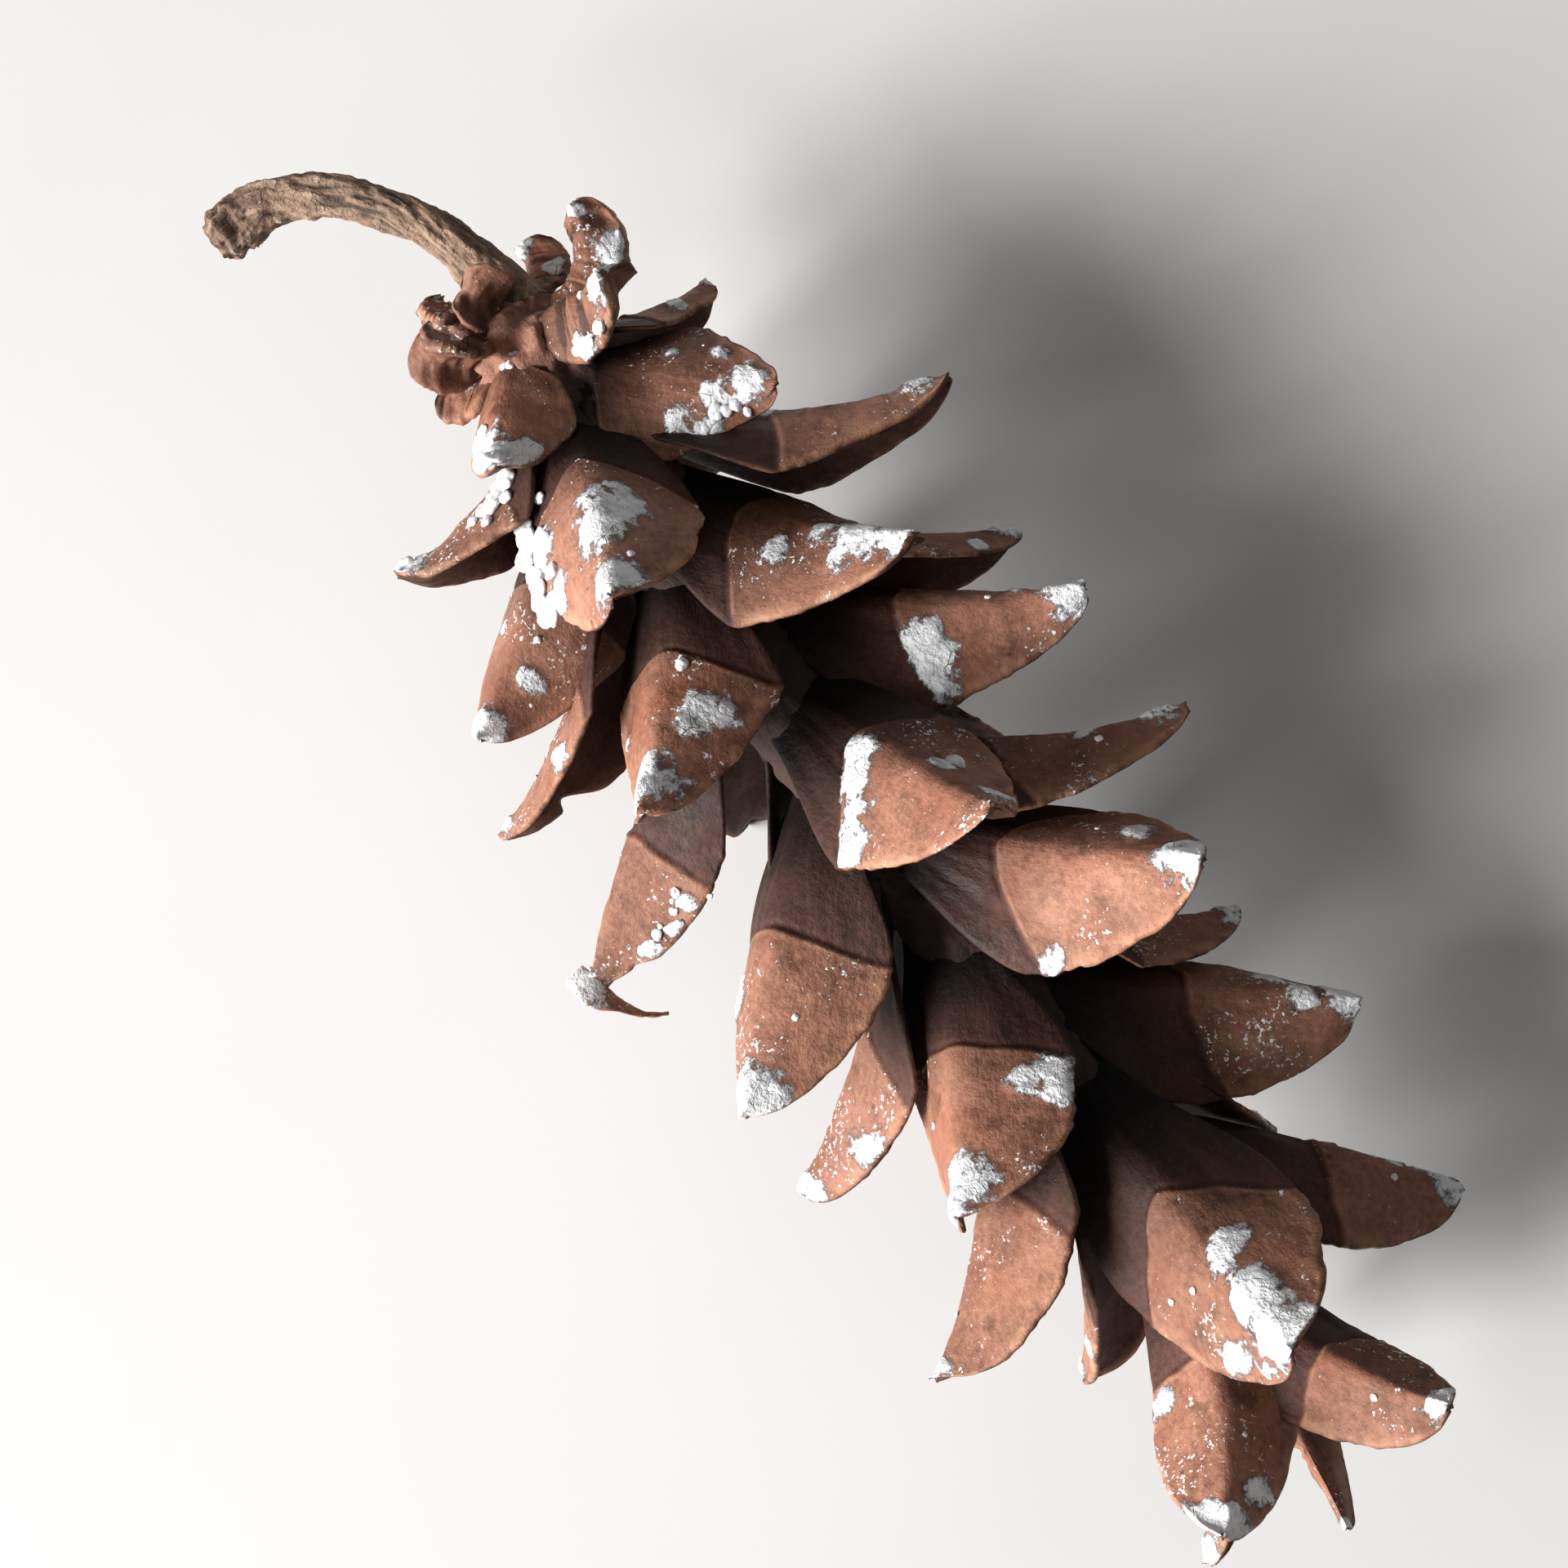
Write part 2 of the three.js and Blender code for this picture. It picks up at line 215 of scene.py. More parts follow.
# Runs of thick resin: scale, place across, place along where the run starts and ends, drops, and radius in
# millimetres.
RESIN_RUNS = [
    (7, -0.95, 0.33, 0.66, 18, 0.95),
    (2, -0.5, 0.66, 0.97, 12, 0.9),
    (2, 0.3, 0.85, 0.97, 5, 0.9),
    (2, 0.1, 0.12, 0.22, 4, 0.6),
    (5, 0.5, 0.3, 0.62, 12, 0.85),
    (5, -0.2, 0.82, 0.97, 6, 0.75),
    (4, -0.75, 0.7, 0.86, 5, 0.6),
    (15, 0.42, 0.45, 0.45, 1, 0.8),
    (20, 0.28, 0.6, 0.6, 1, 0.9),
    (10, 0.1, 0.62, 0.62, 1, 0.5),
    (18, 0.9, 0.6, 0.8, 9, 0.4),
    (18, -0.4, 0.92, 0.97, 4, 0.7),
    (33, -0.6, 0.6, 0.6, 1, 0.5),
    (-1, -0.8, 0.5, 0.8, 3, 0.6),
]

# Drops of resin: shares by which drops of a run are drawn aside and larger or smaller, then the draws of the
# small drops: how far across, and middle and spread of the place along and of the radius in millimetres.
RUN_SCATTER = 0.2
RUN_SIZES = 0.4
SMALL_DROP_ACROSS = 0.7
SMALL_DROP_ALONG = (0.76, 0.18)
SMALL_DROP_RADIUS = (0.26, 0.14)

# Scales whose cap is torn: side that is torn, where the tear starts along the scale, and share torn away.
TORN = {18: (1, 0.8, 0.45), 41: (-1, 0.45, 0.9), 13: (-1, 0.75, 0.4)}

# Scales that are broader, narrower or flatter than the growth gives, as shares of it, and how blunt the caps
# of single scales are: the power by which they narrow to the tip.
BREADTH = {4: 1.3, 18: 0.85, 41: 0.8}
FLATNESS = {4: 0.45, 12: 0.85, 33: 0.9}
BLUNTNESS = {
    2: 2.2,
    4: 1.0,
    7: 2.4,
    18: 1.8,
    23: 2.0,
    25: 1.6,
    28: 2.4,
    30: 1.7,
    31: 3.4,
    33: 2.4,
    35: 2.8,
    36: 2.6,
    38: 2.2,
}
PLAIN_BLUNTNESS = 1.25

# A sliver that curls off the tip of a torn scale: the scale, its path from the tip in millimetres to the
# photograph's right, down and towards the camera, half its width along the path, and half its thickness.
SLIVER_SCALE = 18
SLIVER_PATH = np.array([(-1.6, -1.2, 0.2), (0.6, 0.6, 1.2), (2.6, 1.6, 1.0), (5, 2.6, 0.2), (7.4, 2.7, -0.9)])
SLIVER_WIDTH = np.array([1.2, 1.5, 1, 0.6, 0.2])
SLIVER_THICKNESS = 0.22

# Scales in each piece, from the stalk to the tip.
BANDS = [
    ("basal_scales", -8, 4),
    ("lower_scales", 5, 17),
    ("middle_scales", 18, 30),
    ("tip_scales", 31, 41),
]

# Core: distance along the axis and radius.
CORE_PROFILE = np.array([(-2.5, 1.5), (1.5, 4.4), (12, 5.3), (90, 4), (110, 2.4), (113.5, 0.6)], float)

# Stalk: path and radius from inside the cone's base to the broken end.
STALK_PATH = np.array(
    [
        (0.5, 1, -0.6),
        (-2.2, 1.1, -0.3),
        (-5.3, 1, 0),
        (-8.5, 0.4, 0.7),
        (-13.3, -2, 1.4),
        (-18.5, -5.9, 1.5),
        (-21.4, -10.3, 1.1),
        (-22.4, -14.3, 0.6),
        (-22.7, -17.6, 0),
    ],
    float,
)
STALK_RADIUS = np.array([3.9, 3.1, 2.4, 2, 1.95, 2, 2.15, 2.5, 2.3])

# Resting pose: how the cone's frame stands on the table.
ROLL = math.radians(-1)
DROOP = math.radians(2)
LIFT = 28.85
SHIFT = (-53.94, 1.54)

# View of the photograph, in the cone's frame: aim, distance, width of the picture at the aim, how far the
# view leans from straight down, and how the cone's axis lies in the picture.
AIM = (51.52, -4.6, 0.24)
VIEW_DISTANCE = 190.65
VIEW_WIDTH = 145.5
VIEW_LEAN_TO_TIP = math.radians(3.89)
VIEW_LEAN_SIDEWAYS = math.radians(2.73)
AXIS_IN_VIEW = math.radians(-53.74)
SENSOR_WIDTH = 36

# Lights, in metres and watts: direction to the photograph's right, up and back, distance, size, power and
# colour.
LIGHTS = {
    "key_light": ((-0.86, -0.36, 0.38), 1.6, 0.9, 82.0, (1.0, 0.98, 0.96)),
    "fill_light": ((0.1, 0.1, 0.99), 1.8, 1.6, 2.5, (1.0, 0.99, 0.97)),
}

# Floor and room: half the floor's side in metres, its two shades, and the room's colour and its strength as a
# light and where it is seen.
FLOOR_REACH = 1.6
FLOOR_DARK = (0.54, 0.54, 0.54, 1)
FLOOR_PALE = (0.57, 0.57, 0.57, 1)
ROOM_COLOUR = (1.0, 0.98, 0.95, 1.0)
ROOM_GLOW = 0.13
ROOM_SEEN = 0.8

SCALE_GRID = (96, 37)
CORE_GRID = (72, 260)
STALK_GRID = (110, 260)
SLIVER_GRID = (40, 16)
BEAD_GRID = (15, 24)

# Dark colours in the wood and the resin, and the painted shade of the core.
WOOD_DOTS = (0.035, 0.02, 0.014, 1)
PAINTED_CORE_SHADE = (0.012, 0.008, 0.006, 1)
BARK_CRACKS = (0.03, 0.02, 0.015, 1)
BARK_DOTS = (0.05, 0.035, 0.025, 1)
RESIN_CRACKS = (0.2, 0.19, 0.19, 1)


def draw(scale, purpose):
    """A seeded number from -1 to 1 for a scale and a purpose: the fraction of a steep sine.

    Purposes: 1 to 4 habits, 11 to 18 crusts, 31 tone, 41 to 43 lips, 51 to 53 small drops, 61 and 62 runs of
    drops, 71 worn tips, 81 and 82 curled margins."""
    wave = math.sin(12.9898 * (scale + 20) + 78.233 * purpose) * 43758.5453
    return 2 * (wave - math.floor(wave)) - 1


def smooth(low, high, value):
    """A soft step from 0 at low to 1 at high, three squares less two cubes."""
    share = np.clip((value - low) / (high - low), 0, 1)
    return share * share * (3 - 2 * share)


def bell(value, centre, width):
    """A bell of height 1 about a centre: the exponential of minus the squared distance in widths."""
    return np.exp(-(((value - centre) / width) ** 2))


def stacked(*columns):
    """Columns of numbers, spread to one shape, as the coordinates of points."""
    return np.stack(np.broadcast_arrays(*columns), -1)


def full_turn(sides):
    """Angles of a ring's sides, once round."""
    return np.linspace(0, 2 * math.pi, sides, endpoint=False)[None, :]


def lattice(x, y, z, seed):
    """A number from -1 to 1 for each whole-numbered point, mixed from its three numbers and the seed."""
    mixed = (x * 374761393 + y * 668265263 + z * 1440662683 + seed * 1274126177) & 0xFFFFFFFF
    mixed = ((mixed ^ (mixed >> 13)) * 1274126177) & 0xFFFFFFFF
    mixed = mixed ^ (mixed >> 16)
    return mixed / 2147483647.5 - 1


def lumps(points, size, seed=0):
    """Smooth lumps of a size: lattice numbers blended between the eight corners around each point."""
    cell = points / size
    low = np.floor(cell).astype(np.int64)
    share = cell - low
    share = share * share * (3 - 2 * share)
    total = np.zeros(points.shape[:-1])
    for corner in np.ndindex(2, 2, 2):
        near = np.where(np.array(corner) == 1, share, 1 - share).prod(-1)
        total += near * lattice(*np.moveaxis(low + corner, -1, 0), seed)
    return total


def rough(points, size, layers, seed=0):
    """Layers of lumps, each half the size and a little over half the height of the one before."""
    heights = 0.55 ** np.arange(layers)
    return sum(h * lumps(points, size / 2**k, seed + k) for k, h in enumerate(heights)) / heights.sum()


def pose_rotation():
    """Rotation of the resting pose: rolled about the cone's axis, then drooped about +Y."""
    return np.array(Matrix.Rotation(DROOP, 3, "Y") @ Matrix.Rotation(ROLL, 3, "X"))


def on_table(points):
    """Points of the cone's frame, in millimetres, laid on the table in metres. None sinks below it."""
    placed = points @ pose_rotation().T + np.array((*SHIFT, LIFT))
    placed[..., 2] = np.maximum(placed[..., 2], 0)
    return placed * MM


def view_directions():
    """The photograph's right, up and back directions in the cone's frame. Back leans from azimuth 0 towards
    the tip and the +Y side, and the cone's axis runs down to the right."""
    lean, side = VIEW_LEAN_TO_TIP, VIEW_LEAN_SIDEWAYS
    back = np.array((math.sin(lean), math.cos(lean) * math.sin(side), math.cos(lean) * math.cos(side)))
    along = np.array((1, 0, 0)) - back * back[0]
    along /= np.linalg.norm(along)
    across = np.cross(back, along)
    right = along * math.cos(AXIS_IN_VIEW) - across * math.sin(AXIS_IN_VIEW)
    up = along * math.sin(AXIS_IN_VIEW) + across * math.cos(AXIS_IN_VIEW)
    return right, up, back


def scale_measures(scale):
    """Measures of one scale: growth read between the rows, with its own or its drawn habit added."""
    station, length, half, leave, reach = (np.interp(scale, GROWTH[:, 0], GROWTH[:, k]) for k in range(1, 6))
    opened = OPEN_SPREAD * draw(scale, 1)
    drawn = (
        SWING_SPREAD * draw(scale, 2),
        opened,
        opened,
        TWIST_SPREAD * draw(scale, 3),
        LENGTH_SPREAD * draw(scale, 4),
    )
    swing, leave_more, reach_more, twist, longer = HABITS.get(scale, drawn)
    azimuth = FIRST_AZIMUTH - DIVERGENCE * scale
    outward = Vector((0, math.sin(azimuth), math.cos(azimuth)))
    forward = Matrix.Rotation(math.radians(swing), 3, outward) @ Vector((1, 0, 0))
    return {
        "root": np.array((station, 0, 0)) + ROOT_RADIUS * np.array(outward),
        "outward": np.array(outward),
        "forward": np.array(forward),
        "sideways": np.array(outward.cross(forward)),
        "length": length * (1 + longer),
        "half": half * BREADTH.get(scale, 1.0),
        "camber": CAMBER * FLATNESS.get(scale, 1.0),
        "start": math.radians(leave + leave_more),
        "bend": math.radians(reach + reach_more - leave - leave_more),
        "twist": math.radians(twist),
    }


def tip_end(scale, across):
    """Where a scale ends along its length: worn short by a drawn share, and chipped from side to side."""
    chips = lumps(stacked(across * 3.5 + 5.1 * scale, 0.0, 0.0), 1.0, seed=27)
    return TIP_PLACE + TIP_WEAR * draw(scale, 71) + TIP_CHIPS * chips


def warp_of(scale, along, across):
    """How far a dried scale bends out of its plain form, in millimetres: slow waves over it, and margins that
    curl out or in by a drawn height."""
    spot = stacked(across * 1.6 + 5.7 * scale, along * 5, 0.0)
    waves = WAVES * rough(spot, 1.3, 2, seed=61) * smooth(0.15, 0.5, along)
    curl = np.where(across < 0, draw(scale, 81), draw(scale, 82))
    return waves + MARGIN_CURL * curl * np.abs(across) ** 3 * smooth(0.4, 0.9, along)


def outline(scale, along, end=1.0):
    """Half width against length: a soft widening to the cap, then a taper to a small round tip, which is
    broad on the curled scales."""
    root = ROOT_WIDTH + (1 - ROOT_WIDTH) * smooth(0, CAP_START, along)
    on_cap = np.clip((along - CAP_START) / (1 - CAP_START), 0, 1)
    taper = 1 + (TIP_WIDTH - 1) * on_cap ** BLUNTNESS.get(scale, PLAIN_BLUNTNESS)
    cap = 1 - 0.55 * on_cap**3 if scale < FIRST_OPEN else taper
    rounded = np.sqrt(1 - 0.75 * np.clip((along - end + 0.035) / 0.035, 0, 1) ** 2)
    return np.where(along < CAP_START, root, cap) * rounded


def blade(measures, along, across, offset, half):
    """Points of a scale. The middle line is an arc from root to tip, each row lies square across it, is
    twisted, drops from the keel to the margins, and stands off by an offset. The tip hooks outwards."""
    angle = measures["start"] + measures["bend"] * along
    radius = measures["length"] / measures["bend"]
    forward = radius * (np.sin(angle) - math.sin(measures["start"]))
    outward = radius * (math.cos(measures["start"]) - np.cos(angle))
    turned = measures["twist"] * along
    fold = (np.hypot(across, KEEL) - KEEL) / (math.hypot(1, KEEL) - KEEL)
    camber = measures["camber"] * np.minimum(1, along / CAP_START)
    hook = HOOK * (np.maximum(0, along - HOOK_START) / (1 - HOOK_START)) ** 2
    side = half * across
    rise = hook - camber * half * fold + offset
    flat_side = side * np.cos(turned) - rise * np.sin(turned)
    flat_rise = side * np.sin(turned) + rise * np.cos(turned)
    forward = forward - flat_rise * np.sin(angle)
    outward = outward + flat_rise * np.cos(angle)
    return (
        measures["root"]
        + forward[..., None] * measures["forward"]
        + outward[..., None] * measures["outward"]
        + flat_side[..., None] * measures["sideways"]
    )


def lip_of(scale, across):
    """Place of the cap's lip along a scale: a bow from one margin through the middle to the other."""
    drawn = (0.53 + 0.03 * draw(scale, 41), 0.45 + 0.05 * draw(scale, 42), 0.53 + 0.03 * draw(scale, 43))
    left, middle, right = LIPS.get(scale, drawn)
    margin = np.where(across < 0, left, right)
    wave = lumps(stacked(across * 4 + 7.3 * scale, 0.0, 0.0), 1.0, seed=3)
    return middle + (margin - middle) * np.abs(across) ** 1.3 + 0.009 * wave


def resin_cover(scale, measures, along, across, half, points):
    """Nearness to resin at each point, 1 in the middle of a patch: round patches with lumpy rims, listed for
    the upper scales and drawn on the others, most of them near the tip and the margins."""
    drawn = [
        (0.5 * draw(scale, 11), 0.95, 1.4 + 0.9 * draw(scale, 12)),
        (0.9 * np.sign(draw(scale, 13)), 0.7 + 0.15 * draw(scale, 14), 1.2 + 0.7 * draw(scale, 15)),
        (0.7 * draw(scale, 16), 0.62 + 0.1 * draw(scale, 17), 0.9 + 0.9 * draw(scale, 18)),
    ]
    ragged = rough(points, 2.2, 4, seed=5)
    cover = np.zeros(points.shape[:-1])
    for place_across, place_along, radius in RESIN.get(scale, drawn):
        sideways = (across - place_across) * half
        lengthways = (along - place_along) * measures["length"]
        reach = np.hypot(sideways, lengthways) / max(0.82 * radius, 0.2)
        cover = np.maximum(cover, smooth(2.5, 0.3, reach + 0.8 * ragged))
    return cover


def torn_share(scale, along, across):
    """Share of the half width that is left beside a tear: it narrows from where the tear starts."""
    if scale not in TORN:
        return np.ones(np.broadcast(along, across).shape)
    side, start, share = TORN[scale]
    ragged = rough(stacked(along * 30 + scale, 0.0, 0.0), 2.3, 3, seed=37)
    lost = (share + 0.35 * ragged) * smooth(start, start + 0.08, along)
    return np.where(across * side > 0, 1 - np.clip(lost, 0, 0.9), 1.0)


def grid_steps(rows):
    """Places of the grid's rows: -1 at the root, 0 at the lip and 1 at the tip, closest about the lip."""
    near = rows // 4
    below = np.linspace(-1, -0.18, near, endpoint=False)
    about = np.linspace(-0.18, 0.1, near, endpoint=False)
    return np.concatenate([below, about, np.linspace(0.1, 1, rows - 2 * near)])[:, None]


def thickness_of(sizes, across):
    """Thickness of a scale in millimetres: from the middle it thins to the margins with the square."""
    return MIDDLE_THICKNESS + (sizes.edge_thickness / MM - MIDDLE_THICKNESS) * across**2


def round_scale(shape, on_outer, on_inner, rim_share=0.5):
    """Values round a scale's rings: over the outer face, a rim between the faces, and back over the inner."""
    first, second = np.broadcast_to(on_outer, shape), np.broadcast_to(on_inner, shape)
    rim = (1 - rim_share) * first + rim_share * second
    return np.concatenate([first, rim[:, -1:], second[:, ::-1], rim[:, :1]], 1)


def scale_rings(scale, sizes, rows, columns):
    """Rings of points round a scale from root to tip, with the values that its material reads.

    Rows of the grid follow the lip. The outer face has a blade with fine ribs and, beyond the lip, a raised
    cap with a keel, wrinkles and resin. The inner face has the two prints of the seeds' wings. Margins are
    rounded and uneven."""
    measures = scale_measures(scale)
    across = np.linspace(-1, 1, columns)[None, :]
    lip = lip_of(scale, across[0])[None, :]
    step = grid_steps(rows)
    end = tip_end(scale, across)
    along = np.where(step < 0, lip * (1 + step), lip + (end - lip) * step)
    seed = np.array((scale * 7.3, 0, 0))
    edge_line = stacked(along * 24, np.sign(across) * 9.0, 0.0) + seed
    uneven = 0.07 * rough(edge_line, 2.6, 3, seed=9) + 0.025 * rough(edge_line, 0.55, 2, seed=19)
    uneven = 1 + uneven * smooth(0.4, 0.6, along)
    half = measures["half"] * outline(scale, along, end) * uneven * torn_share(scale, along, across)
    middle = blade(measures, along, across, np.zeros(half.shape), half)

    curled = scale < FIRST_OPEN
    on_cap = np.clip((along - lip) / (1 - lip), 0, 1)
    cap = smooth(0.1, 0.3, along) if curled else smooth(-0.003, 0.014, along - lip)
    cover = resin_cover(scale, measures, along, across, half, middle) * smooth(-0.05, 0.0, along - lip)
    lip_bead = bell(along, lip + 0.012, 0.009) * cap

    body = thickness_of(sizes, across) * (1 - 0.7 * smooth(end - 0.1, end, along))
    ribs = rough(stacked(across * 6 + along, along * 2.5, 0.0) + seed, 1.0, 2, seed=11)
    relief = sizes.cap_rise / MM * cap * (1 - 0.75 * on_cap) * (1 - 0.5 * across**2)
    relief = relief + LIP_BEAD * lip_bead - LIP_GROOVE * bell(along, lip - 0.01, 0.01)
    relief = relief + (1 - cap) * RIBS * ribs * smooth(0.1, 0.25, along)
    wrinkles = WRINKLES * rough(middle, 3.2, 3, seed=2) + FINE_WRINKLES * rough(middle, 1.1, 2, seed=7)
    relief = relief + cap * wrinkles + TIP_SWELLING * bell(along, 0.94, 0.03) * (1 - np.abs(across))
    crust = smooth(0.5, 0.85, cover) * (0.7 + 0.6 * rough(middle, 1.3, 3, seed=13))
    relief = relief + sizes.resin_thickness / MM * crust
    print_hollow = WING_PRINTS * bell(np.abs(across), 0.45, 0.28) * bell(along, 0.5, 0.3)
    inner_relief = 0.1 * rough(middle, 2.4, 3, seed=17) + 0.05 * ribs - print_hollow
    if curled:
        creased = stacked(along * measures["length"] + across**2, across * 0.7, 0.0)
        folds = rough(creased + seed, 1.2, 3, seed=33) * smooth(0.15, 0.4, along)
        relief = relief + FOLDS * folds
        inner_relief = inner_relief + FOLDS * folds + 0.25

    warp = warp_of(scale, along, across)
    outer = blade(measures, along, across, warp + body / 2 + relief, half)
    inner = blade(measures, along, across, warp - body / 2 - inner_relief, half)
    side = measures["sideways"] * 0.4 * sizes.edge_thickness / MM
    right = (outer[:, -1:] + inner[:, -1:]) / 2 + side
    left = (outer[:, :1] + inner[:, :1]) / 2 - side
    points = np.concatenate([outer, right, inner[:, ::-1], left], 1)

    shape = half.shape
    edge = smooth(0.84, 1, np.abs(across))
    # Painted shade, darker towards the root deep between the scales and in the hollows of curled folds.
    depth = smooth(0.68, 0.14, along) * (0.95 if scale > 2 else 0.6)
    if curled:
        depth = np.maximum(depth, 0.75 * smooth(0.05, -0.4, folds))
    values = {
        "cap": round_scale(shape, cap, cap if curled else 0.0, 0.0),
        "inner": round_scale(shape, 0.0, 0.3 if curled else 1.0, 0.4),
        "resin": round_scale(shape, cover, 0.0, 0.3),
        "margin": round_scale(shape, np.maximum(edge * cap, 0.8 * lip_bead), edge, 0.0),
        "tone": np.full(points.shape[:2], 0.5 + 0.5 * draw(scale, 31)),
        "painted_shade": round_scale(shape, depth, depth),
    }
    places = (across * half, along * measures["length"])
    return on_table(points), values, stacked(*(round_scale(shape, place, place) for place in places)) * MM


def sliver_rings(rows, sides):
    """Rings of the sliver: a flat oval section carried along its path, rolled a quarter turn on the way."""
    tip = blade(scale_measures(SLIVER_SCALE), *np.array([[0.95], [0.0], [0.6], [1.0]]))[0]
    right, up, back = view_directions()
    steps = curve_through(SLIVER_PATH, rows)
    centre = tip + steps[:, :1] * right - steps[:, 1:2] * up + steps[:, 2:] * back
    width = curve_through(SLIVER_WIDTH[:, None], rows)[:, None]
    _, side, over = path_directions(centre, back)
    roll = np.linspace(0.2, 1.6, rows)[:, None]
    flat = (side * np.cos(roll) + over * np.sin(roll))[:, None]
    thin = (over * np.cos(roll) - side * np.sin(roll))[:, None]
    angle = full_turn(sides)[..., None]
    points = centre[:, None] + width * np.cos(angle) * flat + SLIVER_THICKNESS * np.sin(angle) * thin
    points = points + 0.12 * lumps(points, 0.7, seed=29)[..., None] * thin
    shape = points.shape[:2]
    crust = np.broadcast_to(np.linspace(1.3, -0.6, rows).clip(0, 1)[:, None], shape)
    values = {key: np.ones(shape) for key in ("cap", "margin", "tone")}
    values |= {"inner": np.zeros(shape), "painted_shade": np.zeros(shape), "resin": crust}
    along = np.linspace(0.02, 0.03, rows)[:, None]
    return on_table(points), values, stacked(0.001 * angle[..., 0], along)


def core_rings(turns, rows):
    """Rings of the core: a profile turned about the axis, roughened where the scales broke away from it."""
    along = np.linspace(CORE_PROFILE[0, 0], CORE_PROFILE[-1, 0], rows)[:, None]
    angle = full_turn(turns)
    radius = np.interp(along, *CORE_PROFILE.T)
    even = stacked(along, radius * np.sin(angle), radius * np.cos(angle))
    radius = radius * (1 + (0.16 + 0.4 * smooth(14, 4, along)) * rough(even, 2.2, 3, seed=23))
    points = stacked(along, radius * np.sin(angle), radius * np.cos(angle))
    # Base marks the core's bare foot, which is kept free of the painted shade.
    base = np.broadcast_to(smooth(11, 5, along), points.shape[:2])
    return on_table(points), {"base": base}, stacked(angle * 4, along) * MM


def curve_through(points, samples):
    """A smooth curve through points, by cubic pieces whose slopes at a point follow its two neighbours."""
    ends = np.concatenate([2 * points[:1] - points[1:2], points, 2 * points[-1:] - points[-2:-1]])
    spot = np.linspace(0, len(points) - 1 - 1e-9, samples)
    index = spot.astype(int)
    share = (spot - index)[:, None]
    before, start, end, after = (ends[index + k] for k in range(4))
    slope_in, slope_out = (end - before) / 2, (after - start) / 2
    square, cube = share**2, share**3
    return (
        (2 * cube - 3 * square + 1) * start
        + (cube - 2 * square + share) * slope_in
        + (3 * square - 2 * cube) * end
        + (cube - square) * slope_out
    )


def path_directions(centre, facing):
    """Directions along a path, beside it and over it. Beside is square to the path and to the facing."""
    heading = np.gradient(centre, axis=0)
    heading /= np.linalg.norm(heading, axis=1, keepdims=True)
    side = np.cross(heading, facing)
    side /= np.linalg.norm(side, axis=1, keepdims=True)
    return heading, side, np.cross(side, heading)


def stalk_rings(turns, rows, sizes):
    """Rings of the stalk: a round section carried along its bent path, swollen at the far end. Long ridges
    and short cracks run along the bark, scars ring its far end, and the broken end is dished."""
    centre = curve_through(STALK_PATH, rows)
    radius = curve_through(STALK_RADIUS[:, None], rows)
    heading, side, up = path_directions(centre, (0, 0, 1.0))
    distance = np.concatenate([[0], np.cumsum(np.linalg.norm(np.diff(centre, axis=0), axis=1))])[:, None]
    angle = full_turn(turns)

    wander = angle + 0.05 * distance + 0.25 * np.sin(0.5 * distance)
    around = stacked(np.cos(wander) * 3, np.sin(wander) * 3, distance * 0.32)
    ridges = rough(around, 1.1, 3, seed=41)
    flakes = rough(around * np.array((1, 1, 2.6)), 1.3, 3, seed=47)
    to_end = distance[-1] - distance
    uneven = to_end + 0.5 * flakes + 0.35 * np.sin(angle * 2 + 0.6)
    scars = np.cos(2 * math.pi * uneven / 1.7 + 1.1 * np.sin(uneven)) * smooth(5.5, 2.5, to_end)
    scars = scars * (0.55 + 0.6 * lumps(around, 1.6, 53))
    old_end = smooth(8, 2, to_end)
    relief = sizes.bark_depth / MM * (0.8 * ridges + (0.6 + 0.8 * old_end) * flakes + 0.4 * scars)
    cracks = np.maximum(smooth(-0.1, -0.42, ridges), smooth(0.0, -0.5, scars + 0.4 * flakes) * old_end)
    reach = radius * (1 - 0.22 * smooth(0.9, 0, to_end)) + relief
    points = centre[:, None] + reach[..., None] * (
        np.cos(angle)[..., None] * side[:, None] + np.sin(angle)[..., None] * up[:, None]
    )
    inward = np.array((0.86, 0.66, 0.42, 0.18))[:, None, None]
    dish = np.array((-0.02, 0.06, 0.22, 0.3))[:, None, None]
    dish = dish + 0.12 * rough(points[-1:], 0.9, 2, seed=3)[..., None]
    broken_end = centre[-1] + (points[-1] - centre[-1]) * inward - dish * heading[-1]
    points = np.concatenate([points, broken_end])
    bark, end = np.zeros((rows, turns)), np.zeros(broken_end.shape[:2])
    values = {
        "crack": np.concatenate([cracks, end]),
        "ridge": np.concatenate([ridges, end]),
        "broken": np.concatenate([bark, end + 1]),
        "old": np.concatenate([bark + old_end, end + 1]),
    }
    far = np.concatenate([bark + distance, end + distance[-1, 0]])
    return on_table(points), values, stacked(angle * 2.3, far) * MM


def bead_rings(centre, outward, radius, height, seed):
    """Rings of a resin bead: half circles turned about its outward direction, flattened, made lumpy, and
    lowered by a third into what it sits on."""
    outward = outward / np.linalg.norm(outward)
    side = np.cross(outward, (0.31, 0.81, 0.5))
    side /= np.linalg.norm(side)
    other = np.cross(outward, side)
    rings, sides = BEAD_GRID
    polar = np.linspace(0.12, math.pi - 0.12, rings)[:, None]
    angle = full_turn(sides)
    across = radius * np.sin(polar)
    points = (
        centre
        + (across * np.cos(angle))[..., None] * side
        + (across * np.sin(angle))[..., None] * other
        + (height * (0.35 - np.cos(polar)) + 0 * angle)[..., None] * outward
    )
    swell = 1 + 0.45 * rough(points, 0.9 * radius, 3, seed)[..., None]
    points = centre + (points - centre) * swell
    return on_table(points), {}, stacked(angle, polar) * MM


